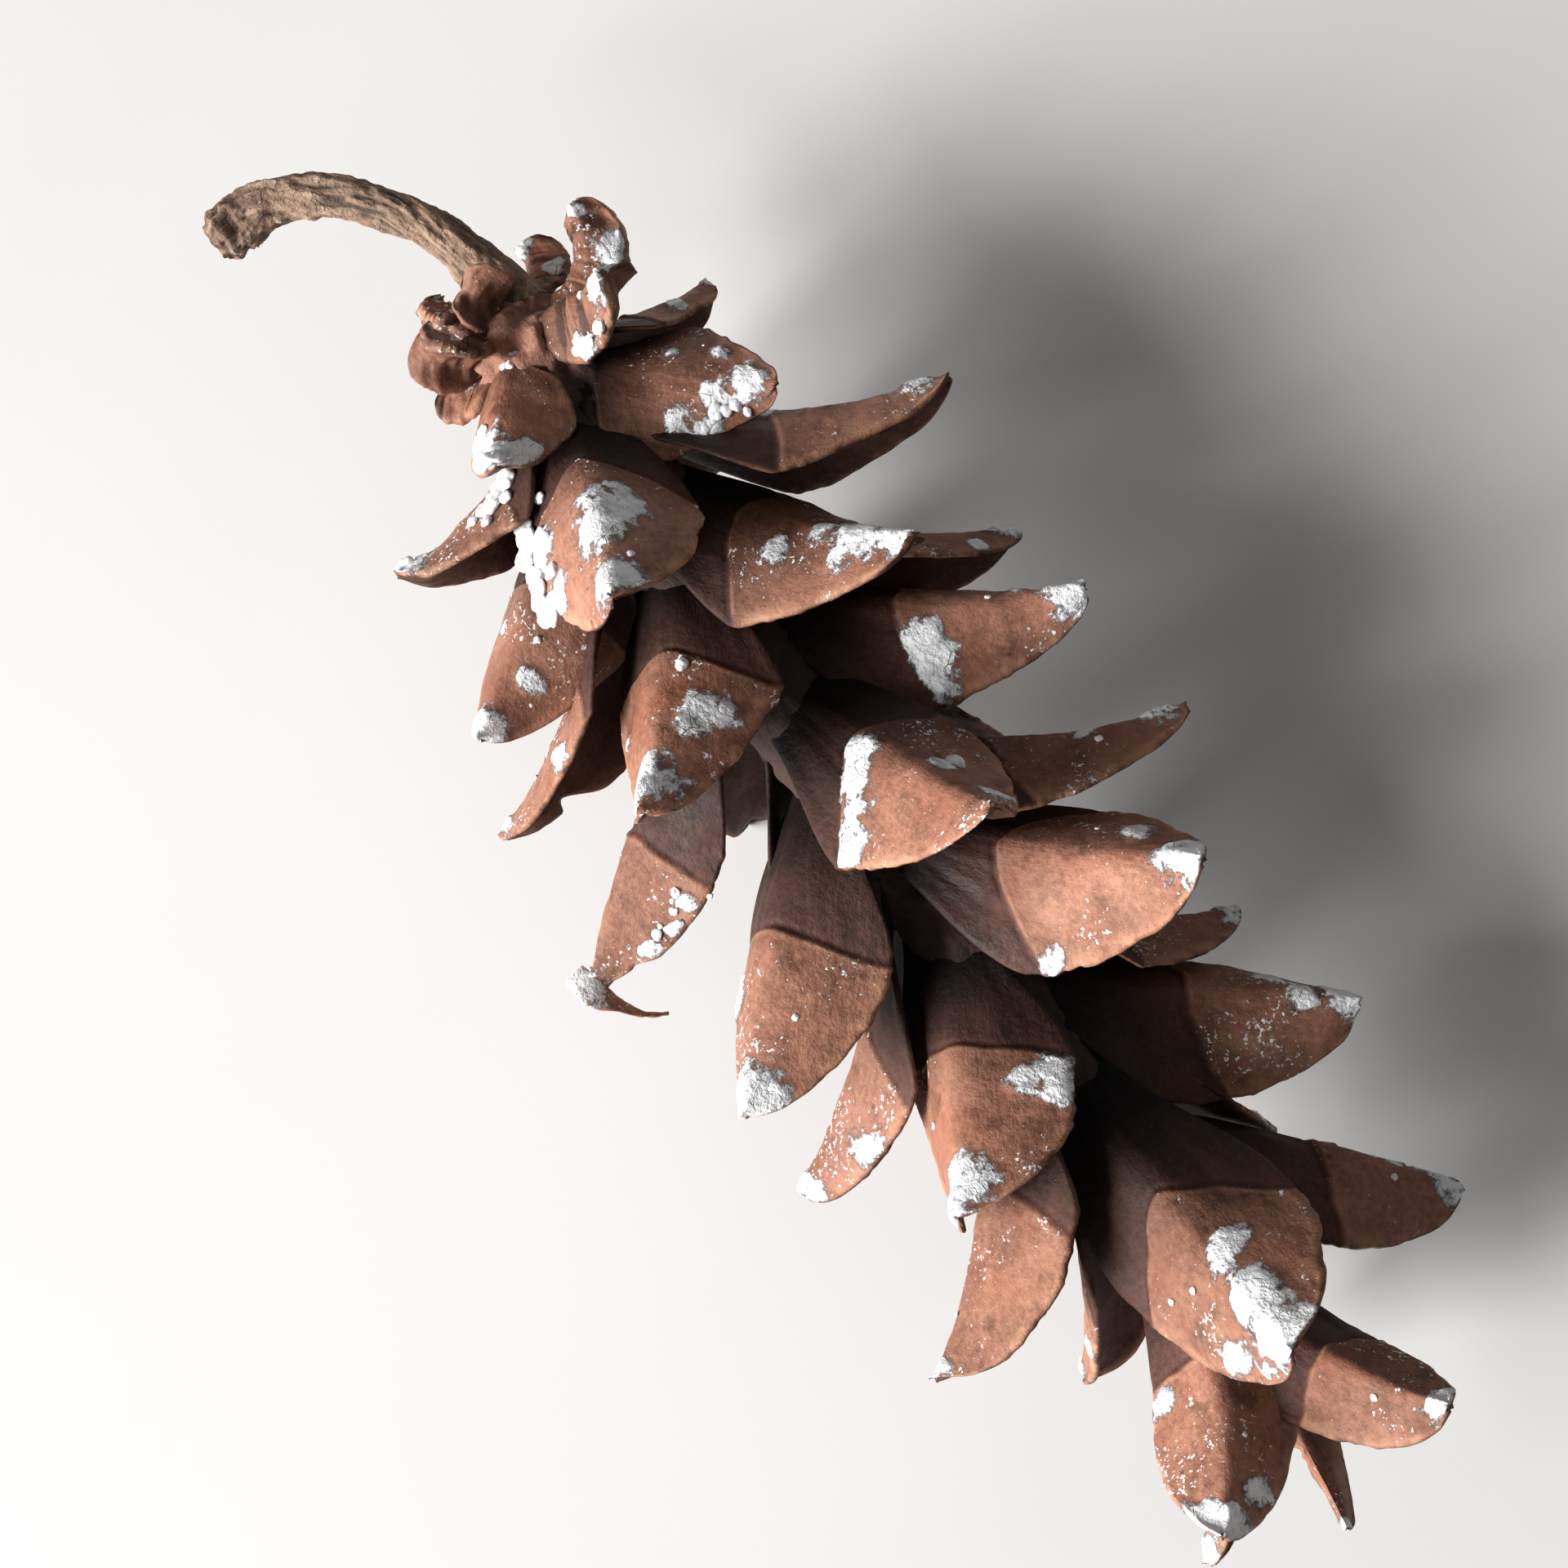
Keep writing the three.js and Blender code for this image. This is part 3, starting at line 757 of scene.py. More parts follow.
def bead_on_scale(sizes, scale, across, along, radius, seed):
    """A bead seated on a scale's outer face, at a place across and along it."""
    measures = scale_measures(scale)
    place_along = np.array((along, along + 0.01, along))[:, None]
    place_across = np.array((across, across, across + 0.02))[:, None]
    half = measures["half"] * outline(scale, place_along)
    rise = sizes.cap_rise / MM * (1 - 0.75 * np.clip((place_along - CAP_START) / (1 - CAP_START), 0, 1))
    body = thickness_of(sizes, place_across)
    height = warp_of(scale, place_along, place_across) + body / 2 + rise * 0.8
    spot, ahead, beside = blade(measures, place_along, place_across, height, half)[:, 0]
    outward = np.cross(ahead - spot, beside - spot)
    return bead_rings(spot, outward, radius, 0.5 * min(radius, 0.9), seed)


def tube_faces(rows, sides):
    """Quads between neighbouring rings of a tube, and triangles of the fans that close its two ends. The
    fans' middles are the two points after the rings."""
    row, side = np.meshgrid(np.arange(rows - 1), np.arange(sides), indexing="ij")
    here = row * sides + side
    beside = row * sides + (side + 1) % sides
    quads = np.stack([here, beside, beside + sides, here + sides], -1).reshape(-1, 4)
    around = np.arange(sides)
    onward = (around + 1) % sides
    last_ring, middle = (rows - 1) * sides, rows * sides
    near_end = stacked(onward, around, middle)
    far_end = stacked(around + last_ring, onward + last_ring, middle + 1)
    return quads, np.concatenate([near_end, far_end])


def with_middles(grid):
    """Values over the rings of a tube as one list, followed by the means of its first and last ring."""
    return np.concatenate([grid.reshape(-1, *grid.shape[2:]), grid[:1].mean(1), grid[-1:].mean(1)])


def mesh_of_rings(name, parts):
    """A mesh of closed tubes. Each part is rings of points, values for the material and a place in metres."""
    points, corners, starts, places, values = [], [], [], [], {}
    vertex_count = corner_count = 0
    for rings, part_values, place in parts:
        rows, sides = rings.shape[:2]
        quads, fans = tube_faces(rows, sides)
        corners.append(np.concatenate([quads.ravel(), fans.ravel()]) + vertex_count)
        fan_starts = quads.size + np.arange(len(fans)) * 3
        starts.append(np.concatenate([np.arange(len(quads)) * 4, fan_starts]) + corner_count)
        points.append(with_middles(rings))
        places.append(with_middles(place))
        for key, value in part_values.items():
            values.setdefault(key, []).append(with_middles(value))
        vertex_count += rows * sides + 2
        corner_count += quads.size + fans.size

    corner = np.concatenate(corners).astype(np.int32)
    start = np.concatenate(starts).astype(np.int32)
    mesh = bpy.data.meshes.new(name)
    mesh.vertices.add(vertex_count)
    mesh.vertices.foreach_set("co", np.concatenate(points).astype(np.float32).ravel())
    mesh.loops.add(len(corner))
    mesh.loops.foreach_set("vertex_index", corner)
    mesh.polygons.add(len(start))
    mesh.polygons.foreach_set("loop_start", start)
    mesh.polygons.foreach_set("use_smooth", np.ones(len(start), bool))
    uv = mesh.uv_layers.new(name="place")
    uv.data.foreach_set("uv", np.concatenate(places)[corner].astype(np.float32).ravel())
    for key, columns in values.items():
        layer = mesh.attributes.new(key, "FLOAT", "POINT")
        layer.data.foreach_set("value", np.concatenate(columns).astype(np.float32))
    mesh.update(calc_edges=True)
    mesh.validate()
    return mesh


def add_piece(name, parts, material, node):
    """Puts a mesh of rings into the scene as a piece that rides on the cone and stands for a CAD node."""
    piece = bpy.data.objects.new(name, mesh_of_rings(name, parts))
    piece.data.materials.append(material)
    bpy.context.scene.collection.objects.link(piece)
    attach(piece, "root")
    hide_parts(node)


def feed(tree, node, inputs):
    """Sets or links a node's inputs, by name or number."""
    for key, value in inputs.items():
        if isinstance(value, bpy.types.NodeSocket):
            tree.links.new(value, node.inputs[key])
        else:
            node.inputs[key].default_value = value


def add_node(tree, kind, inputs=None, **settings):
    """A shader node with its settings, and with its inputs set or linked by name or number."""
    made = tree.nodes.new(kind)
    for key, value in settings.items():
        setattr(made, key, value)
    feed(tree, made, inputs or {})
    return made


def maths(tree, operation, *values):
    """The result of a math node on numbers or sockets."""
    return add_node(tree, "ShaderNodeMath", dict(enumerate(values)), operation=operation).outputs[0]


def times(tree, first, second):
    """The product of two numbers or sockets."""
    return maths(tree, "MULTIPLY", first, second)


def plus(tree, first, second):
    """The sum of two numbers or sockets."""
    return maths(tree, "ADD", first, second)


def weighted(tree, first, *others):
    """The sum of values, each times its weight. They come in pairs of a value and a weight."""
    total = times(tree, *first)
    for pair in others:
        total = plus(tree, total, times(tree, *pair))
    return total


def blend_colours(tree, share, first, second):
    """The colour between two colours by a share."""
    inputs = {"Factor": share, 6: first, 7: second}
    return add_node(tree, "ShaderNodeMix", inputs, data_type="RGBA").outputs[2]


def spread(tree, value, low, high, to_low=0.0, to_high=1.0):
    """A value taken smoothly from one range to another."""
    inputs = {"Value": value, "From Min": low, "From Max": high, "To Min": to_low, "To Max": to_high}
    return add_node(tree, "ShaderNodeMapRange", inputs, interpolation_type="SMOOTHSTEP").outputs[0]


def noise(tree, vector, scale, detail=3.0, roughness=0.55):
    """A noise value over a vector."""
    inputs = {"Vector": vector, "Scale": scale, "Detail": detail, "Roughness": roughness}
    return add_node(tree, "ShaderNodeTexNoise", inputs).outputs["Fac"]


def attribute(tree, name):
    """A value that the mesh carries."""
    return add_node(tree, "ShaderNodeAttribute", attribute_name=name).outputs["Fac"]


def new_group(name, inputs, outputs):
    """An empty shader node group, with what it is given and its output node."""
    tree = bpy.data.node_groups.new(name, "ShaderNodeTree")
    for socket, kind in inputs:
        tree.interface.new_socket(socket, in_out="INPUT", socket_type=kind)
    for socket, kind in outputs:
        tree.interface.new_socket(socket, in_out="OUTPUT", socket_type=kind)
    return tree, tree.nodes.new("NodeGroupInput").outputs, tree.nodes.new("NodeGroupOutput")


def use_group(tree, group, inputs):
    """A node group placed in a material with its own values."""
    return add_node(tree, "ShaderNodeGroup", inputs, node_tree=group).outputs


COLOUR, VALUE, VECTOR = "NodeSocketColor", "NodeSocketFloat", "NodeSocketVector"


def streak_group():
    """Woody streaks: noise drawn out along the grain between a dark and a light colour, with blotches."""
    tree, given, out = new_group(
        "Woody streaks",
        [("Place", VECTOR), ("Body", VECTOR), ("Dark", COLOUR), ("Light", COLOUR)],
        [("Color", COLOUR), ("Height", VALUE)],
    )
    stretch = {0: given["Place"], 1: (1.0, 0.2, 1.0)}
    grain = add_node(tree, "ShaderNodeVectorMath", stretch, operation="MULTIPLY").outputs[0]
    fine = noise(tree, grain, 1900.0, 5.0, 0.7)
    broad = noise(tree, grain, 420.0, 3.0)
    blotch = noise(tree, given["Body"], 170.0, 4.0, 0.6)
    mottle = noise(tree, given["Body"], 1500.0, 4.0, 0.7)
    mixed = weighted(tree, (fine, 0.14), (broad, 0.14), (blotch, 0.36), (mottle, 0.34))
    share = spread(tree, mixed, 0.34, 0.62)
    colour = blend_colours(tree, share, given["Dark"], given["Light"])
    height = weighted(tree, (fine, 0.6), (broad, 0.6), (mottle, 0.9))
    feed(tree, out, {"Color": colour, "Height": height})
    return tree


def speck_group():
    """Specks: a dot in some of the cells of a pattern, of uneven size."""
    tree, given, out = new_group(
        "Specks",
        [("Body", VECTOR), ("Scale", VALUE), ("Share", VALUE), ("Size", VALUE)],
        [("Mask", VALUE)],
    )
    wobble = add_node(tree, "ShaderNodeTexNoise", {"Vector": given["Body"], "Scale": 900.0, "Detail": 2.0})
    shifted = add_node(
        tree,
        "ShaderNodeVectorMath",
        {0: wobble.outputs["Color"], 1: (0.0009, 0.0009, 0.0009), 2: given["Body"]},
        operation="MULTIPLY_ADD",
    )
    cells = add_node(tree, "ShaderNodeTexVoronoi", {"Vector": shifted.outputs[0], "Scale": given["Scale"]})
    pick = add_node(tree, "ShaderNodeSeparateColor", {"Color": cells.outputs["Color"]})
    chosen = maths(tree, "LESS_THAN", pick.outputs["Red"], given["Share"])
    radius = times(tree, given["Size"], plus(tree, pick.outputs["Green"], 0.25))
    dot = maths(tree, "LESS_THAN", cells.outputs["Distance"], radius)
    feed(tree, out, {"Mask": times(tree, chosen, dot)})
    return tree


def resin_group():
    """Dried resin: white to blue-grey crust, thin and grey at its ragged rim, with dark cracks in places."""
    tree, given, out = new_group(
        "Dried resin",
        [("Body", VECTOR), ("Mask", VALUE), ("Pale", COLOUR), ("Grey", COLOUR)],
        [("Color", COLOUR), ("Cover", VALUE), ("Height", VALUE), ("Roughness", VALUE)],
    )
    ragged = noise(tree, given["Body"], 900.0, 6.0, 0.72)
    shade = noise(tree, given["Body"], 520.0, 4.0, 0.6)
    lumpy = noise(tree, given["Body"], 1700.0, 3.0, 0.6)
    swing = times(tree, maths(tree, "SUBTRACT", ragged, 0.5), 1.9)
    depth = times(tree, plus(tree, given["Mask"], swing), spread(tree, given["Mask"], 0.0, 0.2))
    cover = spread(tree, depth, 0.5, 0.74)
    cells = add_node(
        tree,
        "ShaderNodeTexVoronoi",
        {"Vector": given["Body"], "Scale": 560.0, "Randomness": 1.0},
        feature="DISTANCE_TO_EDGE",
    )
    crack = spread(tree, cells.outputs["Distance"], 0.0, 0.028)
    some = spread(tree, noise(tree, given["Body"], 260.0, 2.0), 0.36, 0.42)
    whole = maths(tree, "MAXIMUM", crack, some)
    thin = spread(tree, depth, 1.0, 0.55)
    greyed = maths(tree, "MAXIMUM", times(tree, thin, 0.75), spread(tree, shade, 0.46, 0.75))
    colour = blend_colours(tree, greyed, given["Pale"], given["Grey"])
    colour = blend_colours(tree, whole, RESIN_CRACKS, colour)
    height = times(tree, cover, weighted(tree, (lumpy, 0.8), (whole, 0.4)))
    roughness = spread(tree, shade, 0.3, 0.7, 0.3, 0.6)
    feed(tree, out, {"Color": colour, "Cover": cover, "Height": height, "Roughness": roughness})
    return tree


def new_material(name):
    """A material, its node tree and Principled BSDF, the object's coordinates and the piece's own place."""
    material = bpy.data.materials.new(name)
    material.use_nodes = True
    tree = material.node_tree
    body = tree.nodes.new("ShaderNodeTexCoord").outputs["Object"]
    place = add_node(tree, "ShaderNodeUVMap", uv_map="place").outputs["UV"]
    return material, tree, tree.nodes["Principled BSDF"], body, place


def bump_from(tree, shader, height, distance, strength):
    """Feeds a height through a bump node to a shader's normal."""
    inputs = {"Height": height, "Distance": distance, "Strength": strength}
    feed(tree, shader, {"Normal": add_node(tree, "ShaderNodeBump", inputs).outputs["Normal"]})


def paints(context):
    """The scene's colours by name, as the four numbers of a colour socket."""
    colours = context.scene.pine_cone_colours
    return {key: (*getattr(colours, key), 1.0) for key in colours.__annotations__}


def woody_streaks(tree, groups, place, body, dark, light):
    """The streaks placed in a material, between two colours."""
    given = {"Place": place, "Body": body, "Dark": dark, "Light": light}
    return use_group(tree, groups["Woody streaks"], given)


def specks(tree, groups, body, scale, share, size):
    """The mask of the specks placed in a material."""
    given = {"Body": body, "Scale": scale, "Share": share, "Size": size}
    return use_group(tree, groups["Specks"], given)["Mask"]


def resin_crust(tree, groups, body, mask, colours):
    """The dried resin placed in a material, under a mask."""
    given = {"Body": body, "Mask": mask, "Pale": colours["resin"], "Grey": colours["resin_grey"]}
    return use_group(tree, groups["Dried resin"], given)


def scale_material(groups, colours):
    """Wood of the scales: streaked caps, darker purple-brown blades and inner faces, pale margins, resin
    crusts, white flecks and dark dots, each scale with a tone of its own. Painted shade darkens the roots."""
    material, tree, shader, body, place = new_material("scale_wood")
    cap, inner, resin = attribute(tree, "cap"), attribute(tree, "inner"), attribute(tree, "resin")
    margin, tone = attribute(tree, "margin"), attribute(tree, "tone")
    own_shift = add_node(tree, "ShaderNodeCombineXYZ", {"Z": times(tree, tone, 0.37)}).outputs[0]
    shifted = add_node(tree, "ShaderNodeVectorMath", {0: place, 1: own_shift}, operation="ADD").outputs[0]
    cap_streaks, blade_streaks, inner_streaks = (
        woody_streaks(tree, groups, shifted, body, colours[f"{face}_dark"], colours[f"{face}_light"])
        for face in ("cap", "blade", "inner")
    )
    wood = blend_colours(tree, cap, blade_streaks["Color"], cap_streaks["Color"])
    wood = blend_colours(tree, inner, wood, inner_streaks["Color"])
    red_stain = times(tree, spread(tree, noise(tree, body, 105.0, 4.0, 0.6), 0.48, 0.68), 0.5)
    wood = blend_colours(tree, times(tree, red_stain, cap), wood, colours["stain"])
    dark_stain = times(tree, spread(tree, noise(tree, body, 230.0, 5.0, 0.65), 0.54, 0.72), 0.6)
    wood = blend_colours(tree, dark_stain, wood, colours["blade_dark"])
    worn = spread(tree, noise(tree, body, 420.0, 4.0, 0.65), 0.4, 0.6)
    warm = times(tree, times(tree, margin, worn), 0.7)
    wood = blend_colours(tree, warm, wood, colours["margin"])
    # Painted shade: the colour darkens towards the scales' roots and in the folds of the curled scales.
    unshaded = maths(tree, "SUBTRACT", 1.0, attribute(tree, "painted_shade"))
    value = times(tree, spread(tree, tone, 0.0, 1.0, 0.84, 1.14), unshaded)
    own = add_node(tree, "ShaderNodeHueSaturation", {"Value": value, "Color": wood}).outputs[0]

    dots = specks(tree, groups, body, 380.0, 0.16, 0.16)
    own = blend_colours(tree, times(tree, dots, 0.55), own, WOOD_DOTS)
    patchy = spread(tree, noise(tree, body, 130.0, 3.0), 0.4, 0.68, -0.07, 0.07)
    crumbs = plus(tree, noise(tree, body, 1900.0, 4.0, 0.7), patchy)
    flecks = times(tree, spread(tree, crumbs, 0.628, 0.66), cap)
    crust = resin_crust(tree, groups, body, resin, colours)
    colour = blend_colours(tree, flecks, own, colours["resin"])
    colour = blend_colours(tree, crust["Cover"], colour, crust["Color"])

    wood_rough = spread(tree, noise(tree, body, 260.0, 3.0), 0.3, 0.7, 0.5, 0.72)
    given = {"Factor": crust["Cover"], 2: wood_rough, 3: crust["Roughness"]}
    rough_mix = add_node(tree, "ShaderNodeMix", given, data_type="FLOAT").outputs[0]
    feed(tree, shader, {"Base Color": colour, "Roughness": rough_mix, "Specular IOR Level": 0.2})
    height = weighted(tree, (cap_streaks["Height"], 0.35), (crust["Height"], 0.9), (flecks, 0.3))
    bump_from(tree, shader, height, 0.0006, 0.8)
    return material


def core_material(groups, colours):
    """Fibrous wood of the core, darker than the scales: painted shade darkens it almost to black except at
    its bare base.
    """
    material, tree, shader, body, place = new_material("core_wood")
    fibres = woody_streaks(tree, groups, place, body, colours["blade_dark"], colours["blade_light"])
    bare = woody_streaks(tree, groups, place, body, colours["cap_dark"], colours["cap_light"])
    # Painted shade: the core between the scales is darkened almost to black.
    shaded_fibres = blend_colours(tree, 0.7, fibres["Color"], PAINTED_CORE_SHADE)
    wood = blend_colours(tree, attribute(tree, "base"), shaded_fibres, bare["Color"])
    roughness = spread(tree, fibres["Height"], 0.4, 1.1, 0.65, 0.85)
    feed(tree, shader, {"Base Color": wood, "Roughness": roughness})
    bump_from(tree, shader, fibres["Height"], 0.0006, 0.6)
    return material


def bark_material(groups, colours):
    """Bark of the stalk: grey-tan ridges, dark cracks, pale flakes, and dark hollows at the broken end."""
    material, tree, shader, body, place = new_material("stalk_bark")
    fibres = woody_streaks(tree, groups, place, body, colours["bark_dark"], colours["bark_light"])
    crack, ridge, broken = attribute(tree, "crack"), attribute(tree, "ridge"), attribute(tree, "broken")
    bark = blend_colours(tree, spread(tree, ridge, -0.1, 0.5), fibres["Color"], colours["bark_light"])
    flakes = spread(tree, noise(tree, body, 620.0, 5.0, 0.7), 0.55, 0.68)
    bark = blend_colours(tree, times(tree, flakes, 0.6), bark, colours["bark_flake"])
    bark = blend_colours(tree, times(tree, crack, 0.8), bark, BARK_CRACKS)
    dots = specks(tree, groups, body, 700.0, 0.25, 0.25)
    bark = blend_colours(tree, times(tree, dots, 0.6), bark, BARK_DOTS)
    end_grain = noise(tree, body, 900.0, 3.0)
    end = blend_colours(tree, end_grain, colours["bark_flake"], colours["bark_dark"])
    bark = blend_colours(tree, broken, bark, end)
    old = times(tree, attribute(tree, "old"), spread(tree, ridge, 0.4, -0.3))
    bark = blend_colours(tree, times(tree, old, 0.75), bark, colours["old_bark"])
    roughness = spread(tree, flakes, 0.0, 1.0, 0.85, 0.7)
    feed(tree, shader, {"Base Color": bark, "Roughness": roughness})
    bump_from(tree, shader, plus(tree, fibres["Height"], flakes), 0.0005, 0.8)
    return material


def drop_material(groups, colours):
    """Beads of resin: milky white, a little glossy, greyer in places."""
    material, tree, shader, body, _ = new_material("resin_drops")
    crust = resin_crust(tree, groups, body, 1.0, colours)
    feed(tree, shader, {"Base Color": crust["Color"], "Roughness": crust["Roughness"], "Coat Weight": 0.15})
    bump_from(tree, shader, crust["Height"], 0.0003, 0.4)
    return material


def shared_groups():
    """The shader groups that the materials share, built once."""
    makers = {"Woody streaks": streak_group, "Specks": speck_group, "Dried resin": resin_group}
    return {name: bpy.data.node_groups.get(name) or make() for name, make in makers.items()}


def view_axes():
    """The view's right, up and back directions on the table, and the point it aims at."""
    turn = Matrix(pose_rotation().tolist())
    aim = (turn @ Vector(AIM) + Vector((*SHIFT, LIFT))) * MM
    return *(turn @ Vector(direction) for direction in view_directions()), aim


def soft_room():
    """A room that lights the cone faintly from all around, and is pale where it is seen behind the floor."""
    world = bpy.data.worlds.new("soft_room")
    world.use_nodes = True
    tree = world.node_tree
    seen = add_node(tree, "ShaderNodeLightPath").outputs["Is Camera Ray"]
    strength = spread(tree, seen, 0.0, 1.0, ROOM_GLOW, ROOM_SEEN)
    feed(tree, tree.nodes["Background"], {"Color": ROOM_COLOUR, "Strength": strength})
    return world


def add_floor():
    """A wide, pale, faintly mottled floor."""
    mesh = bpy.data.meshes.new("floor")
    corners = [(x * FLOOR_REACH, y * FLOOR_REACH, 0) for x, y in ((-1, -1), (1, -1), (1, 1), (-1, 1))]
    mesh.from_pydata(corners, [], [(0, 1, 2, 3)])
    material, tree, shader, body, _ = new_material("floor_paper")
    mottle = spread(tree, noise(tree, body, 6.0, 4.0), 0.3, 0.7)
    paper = blend_colours(tree, mottle, FLOOR_DARK, FLOOR_PALE)
    feed(tree, shader, {"Base Color": paper, "Roughness": 0.9})
    mesh.materials.append(material)
    floor = bpy.data.objects.new("floor", mesh)
    bpy.context.scene.collection.objects.link(floor)


def add_light(name, place, target, size, power, colour):
    """A square soft light that faces a target."""
    light = bpy.data.lights.new(name, "AREA")
    light.size = size
    light.energy = power
    light.color = colour
    lamp = bpy.data.objects.new(name, light)
    lamp.location = place
    lamp.rotation_euler = (target - place).to_track_quat("-Z", "Y").to_euler()
    bpy.context.scene.collection.objects.link(lamp)


def add_camera(right, up, back, aim):
    """The photograph's camera, close above the cone."""
    lens = bpy.data.cameras.new("camera")
    lens.sensor_width = SENSOR_WIDTH
    lens.lens = SENSOR_WIDTH * VIEW_DISTANCE / VIEW_WIDTH
    lens.clip_start = 0.01
    camera = bpy.data.objects.new("camera", lens)
    turn = Matrix((right, up, back)).transposed().to_4x4()
    camera.matrix_world = Matrix.Translation(aim + back * VIEW_DISTANCE * MM) @ turn
    bpy.context.scene.collection.objects.link(camera)
    bpy.context.scene.camera = camera


def length_property(name, description, millimetres):
    """A length that a user can change."""
    return FloatProperty(name=name, description=description, default=millimetres * MM, unit="LENGTH")


class PineConeSizes(bpy.types.PropertyGroup):
    """Sizes of the cone's finish."""

    cap_rise: length_property("Cap rise", "How far a scale's cap stands out of its blade", 0.28)
    edge_thickness: length_property("Edge thickness", "Thickness of a scale at its margins", 0.6)
    resin_thickness: length_property("Resin thickness", "Height of the dried resin's crusts", 0.45)
    bark_depth: length_property("Bark depth", "Depth of the ridges and scars in the stalk's bark", 0.6)


def colour_property(name, description, default):
    """A colour that a user can change."""
    return FloatVectorProperty(
        name=name, description=description, default=default, subtype="COLOR", size=3, min=0.0, max=1.0
    )


class PineConeColours(bpy.types.PropertyGroup):
    """Colours of the cone's finishes."""

    cap_dark: colour_property("Cap, dark", "Dark streaks of the caps", (0.135, 0.058, 0.036))
    cap_light: colour_property("Cap, light", "Light streaks of the caps", (0.36, 0.168, 0.11))
    blade_dark: colour_property("Blade, dark", "Dark streaks of the blades", (0.032, 0.015, 0.011))
    blade_light: colour_property("Blade, light", "Light streaks of the blades", (0.125, 0.05, 0.036))
    inner_dark: colour_property("Inner, dark", "Dark streaks of the inner faces", (0.036, 0.017, 0.012))
    inner_light: colour_property("Inner, light", "Light streaks of the inner faces", (0.13, 0.06, 0.041))
    stain: colour_property("Stain", "Red-brown stains of the caps", (0.25, 0.088, 0.048))
    margin: colour_property("Margin", "Worn margins of the scales", (0.43, 0.225, 0.135))
    resin: colour_property("Resin", "Dried resin", (0.84, 0.85, 0.87))
    resin_grey: colour_property("Resin, grey", "Greyer parts of the dried resin", (0.42, 0.43, 0.47))
    bark_dark: colour_property("Bark, dark", "Dark streaks of the stalk's bark", (0.09, 0.053, 0.033))
    bark_light: colour_property("Bark, light", "Ridges of the stalk's bark", (0.33, 0.215, 0.145))
    old_bark: colour_property("Bark, old", "Hollows of the bark at the broken end", (0.09, 0.042, 0.028))
    bark_flake: colour_property("Bark, flakes", "Pale flakes of the stalk's bark", (0.47, 0.335, 0.25))


class PINECONE_OT_scales(bpy.types.Operator):
    """Grow the scales from the spiral rule, in four pieces from the stalk to the tip"""

    bl_idname = "pinecone.scales"
    bl_label = "Grow scales"

    def execute(self, context):
        material = scale_material(shared_groups(), paints(context))
        sizes = context.scene.pine_cone_sizes
        grid = SCALE_GRID
        for name, first, last in BANDS:
            parts = [scale_rings(scale, sizes, *grid) for scale in range(first, last + 1)]
            if first <= SLIVER_SCALE <= last:
                parts.append(sliver_rings(*SLIVER_GRID))
            add_piece(name, parts, material, "cone")
        return {"FINISHED"}


class PINECONE_OT_core(bpy.types.Operator):
    """Turn the woody core that the scales stand on"""

    bl_idname = "pinecone.core"
    bl_label = "Turn core"

    def execute(self, context):
        material = core_material(shared_groups(), paints(context))
        add_piece("core", [core_rings(*CORE_GRID)], material, "cone")
        return {"FINISHED"}


class PINECONE_OT_stalk(bpy.types.Operator):
    """Bend the bark-covered stalk from the cone's base to its broken end"""

    bl_idname = "pinecone.stalk"
    bl_label = "Bend stalk"

    def execute(self, context):
        material = bark_material(shared_groups(), paints(context))
        rings = stalk_rings(*STALK_GRID, context.scene.pine_cone_sizes)
        add_piece("stalk_bark", [rings], material, "stalk")
        return {"FINISHED"}


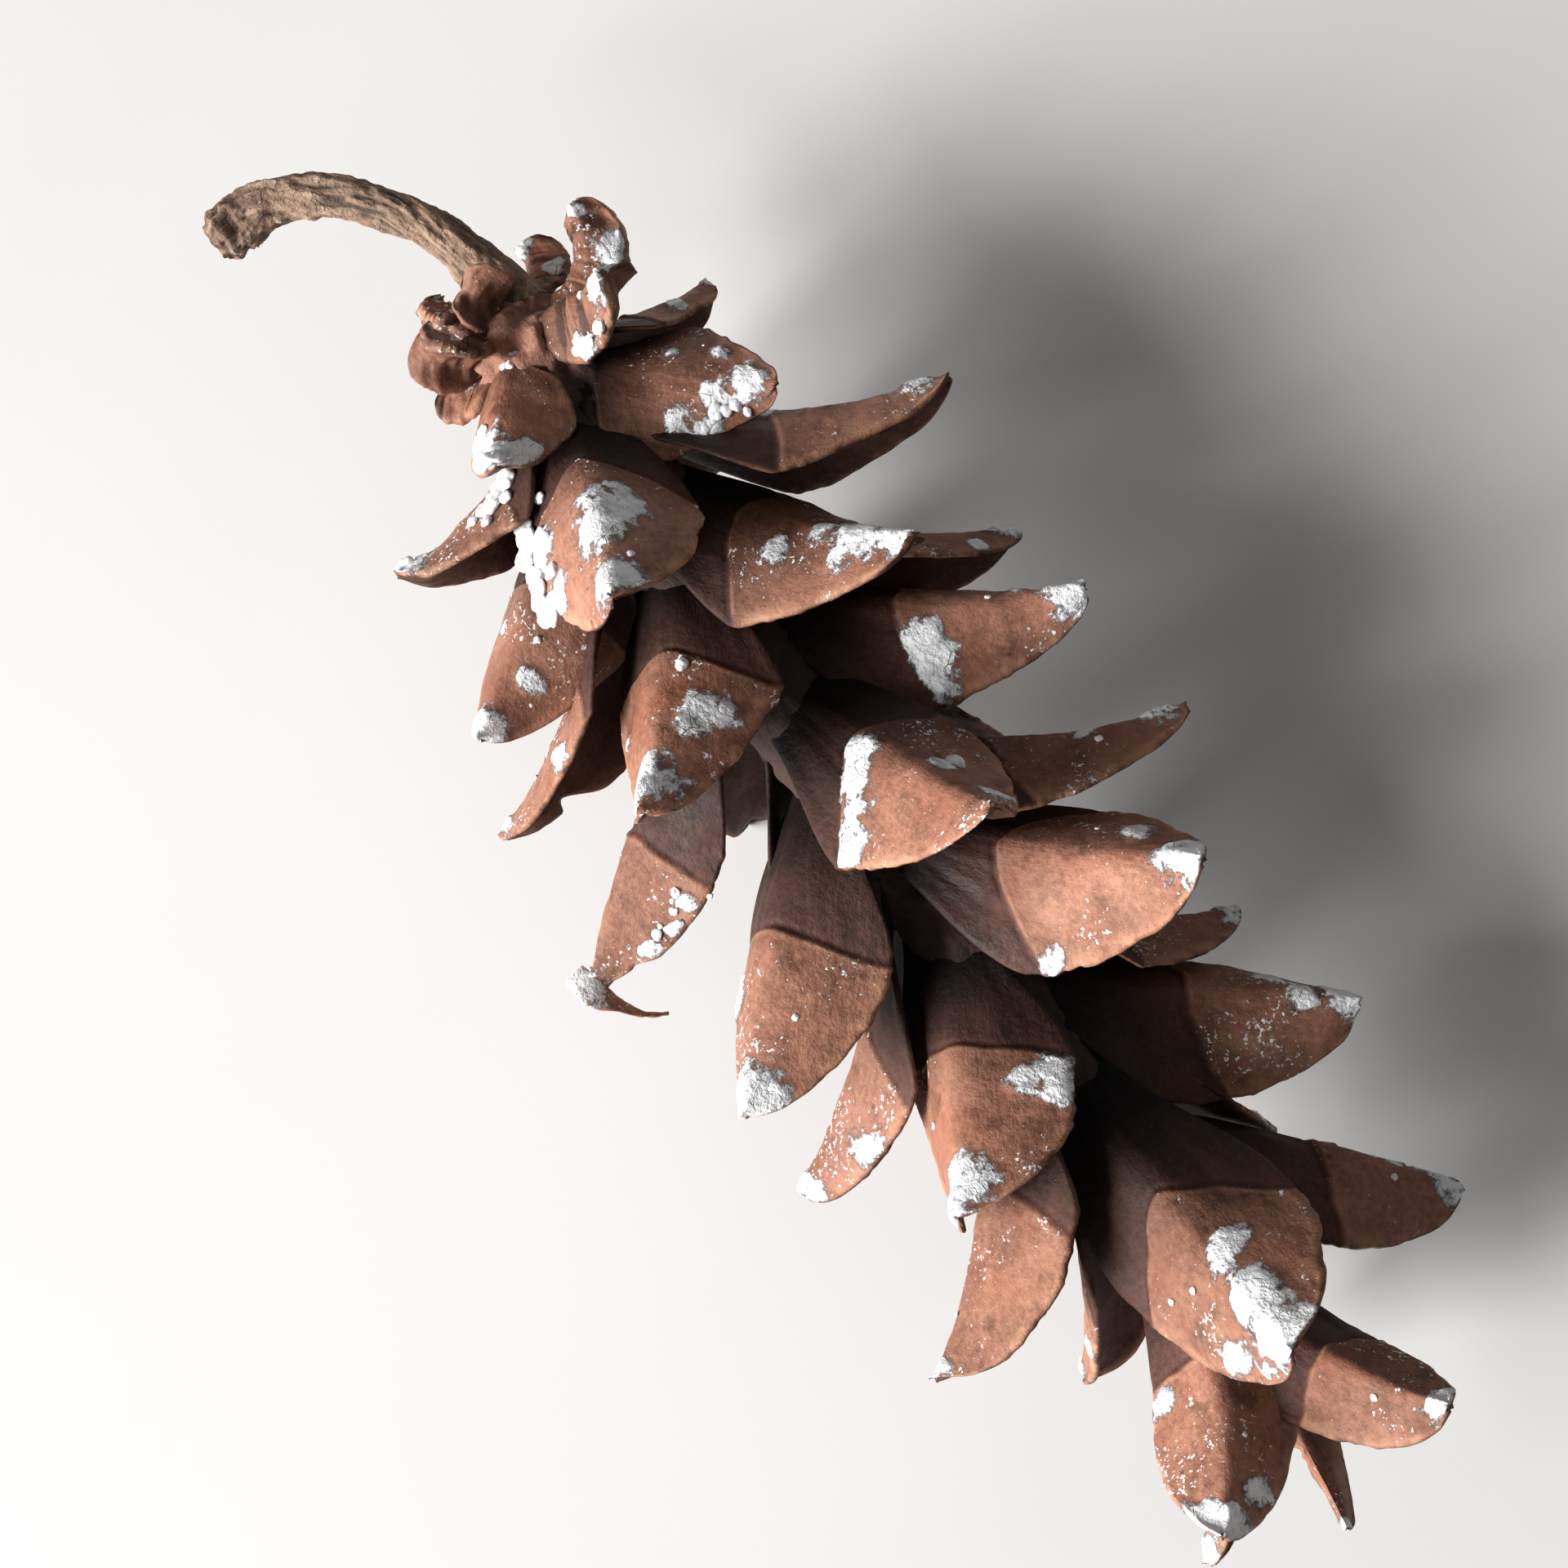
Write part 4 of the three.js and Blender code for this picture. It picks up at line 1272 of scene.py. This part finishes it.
class PINECONE_OT_resin_drops(bpy.types.Operator):
    """Set drops of dried resin on the caps, thick ones listed and small ones by the seeded rule"""

    bl_idname = "pinecone.resin_drops"
    bl_label = "Drop resin"

    def execute(self, context):
        material = drop_material(shared_groups(), paints(context))
        sizes = context.scene.pine_cone_sizes
        drops = []
        for scale, across, start, end, count, radius in RESIN_RUNS:
            for drop, along in enumerate(np.linspace(start, end, count)):
                shifted = across + RUN_SCATTER * draw(scale + 3.7 * drop, 61)
                drawn = radius * (1 + RUN_SIZES * draw(scale + 2.9 * drop, 62))
                drops.append((scale, shifted, along, drawn))
        for scale in range(2, LAST_SCALE - 1):
            across = SMALL_DROP_ACROSS * draw(scale, 51)
            along = SMALL_DROP_ALONG[0] + SMALL_DROP_ALONG[1] * draw(scale, 52)
            radius = SMALL_DROP_RADIUS[0] + SMALL_DROP_RADIUS[1] * draw(scale, 53)
            drops.append((scale, across, along, radius))
        parts = [bead_on_scale(sizes, *drop, seed) for seed, drop in enumerate(drops)]
        add_piece("resin_drops", parts, material, "cone")
        return {"FINISHED"}


class PINECONE_OT_stage(bpy.types.Operator):
    """Set the pale floor, the soft lights and the camera of the photograph"""

    bl_idname = "pinecone.stage"
    bl_label = "Set stage"

    def execute(self, context):
        right, up, back, aim = view_axes()
        add_floor()
        for name, ((to_right, to_up, to_back), distance, *settings) in LIGHTS.items():
            direction = (to_right * right + to_up * up + to_back * back).normalized()
            add_light(name, aim + distance * direction, aim, *settings)
        context.scene.world = soft_room()
        context.scene.view_settings.view_transform = "Standard"
        add_camera(right, up, back, aim)
        return {"FINISHED"}


class PINECONE_PT_panel(bpy.types.Panel):
    """Sizes, colours and makers of the pine cone"""

    bl_idname = "PINECONE_PT_panel"
    bl_label = "Pine cone"
    bl_space_type = "VIEW_3D"
    bl_region_type = "UI"
    bl_category = "Pine cone"

    def draw(self, context):
        column = self.layout.column()
        for group in (context.scene.pine_cone_sizes, context.scene.pine_cone_colours):
            for key in group.__annotations__:
                column.prop(group, key)
        for operator in OPERATORS:
            column.operator(operator.bl_idname)


OPERATORS = (
    PINECONE_OT_scales,
    PINECONE_OT_core,
    PINECONE_OT_stalk,
    PINECONE_OT_resin_drops,
    PINECONE_OT_stage,
)
CLASSES = (PineConeSizes, PineConeColours, *OPERATORS, PINECONE_PT_panel)


def register():
    for made in CLASSES:
        bpy.utils.register_class(made)
    bpy.types.Scene.pine_cone_sizes = PointerProperty(type=PineConeSizes)
    bpy.types.Scene.pine_cone_colours = PointerProperty(type=PineConeColours)


def unregister():
    del bpy.types.Scene.pine_cone_colours
    del bpy.types.Scene.pine_cone_sizes
    for made in reversed(CLASSES):
        bpy.utils.unregister_class(made)


def main():
    register()
    bpy.ops.pinecone.scales()
    bpy.ops.pinecone.core()
    bpy.ops.pinecone.stalk()
    bpy.ops.pinecone.resin_drops()
    bpy.ops.pinecone.stage()


if __name__ == "__main__":
    main()
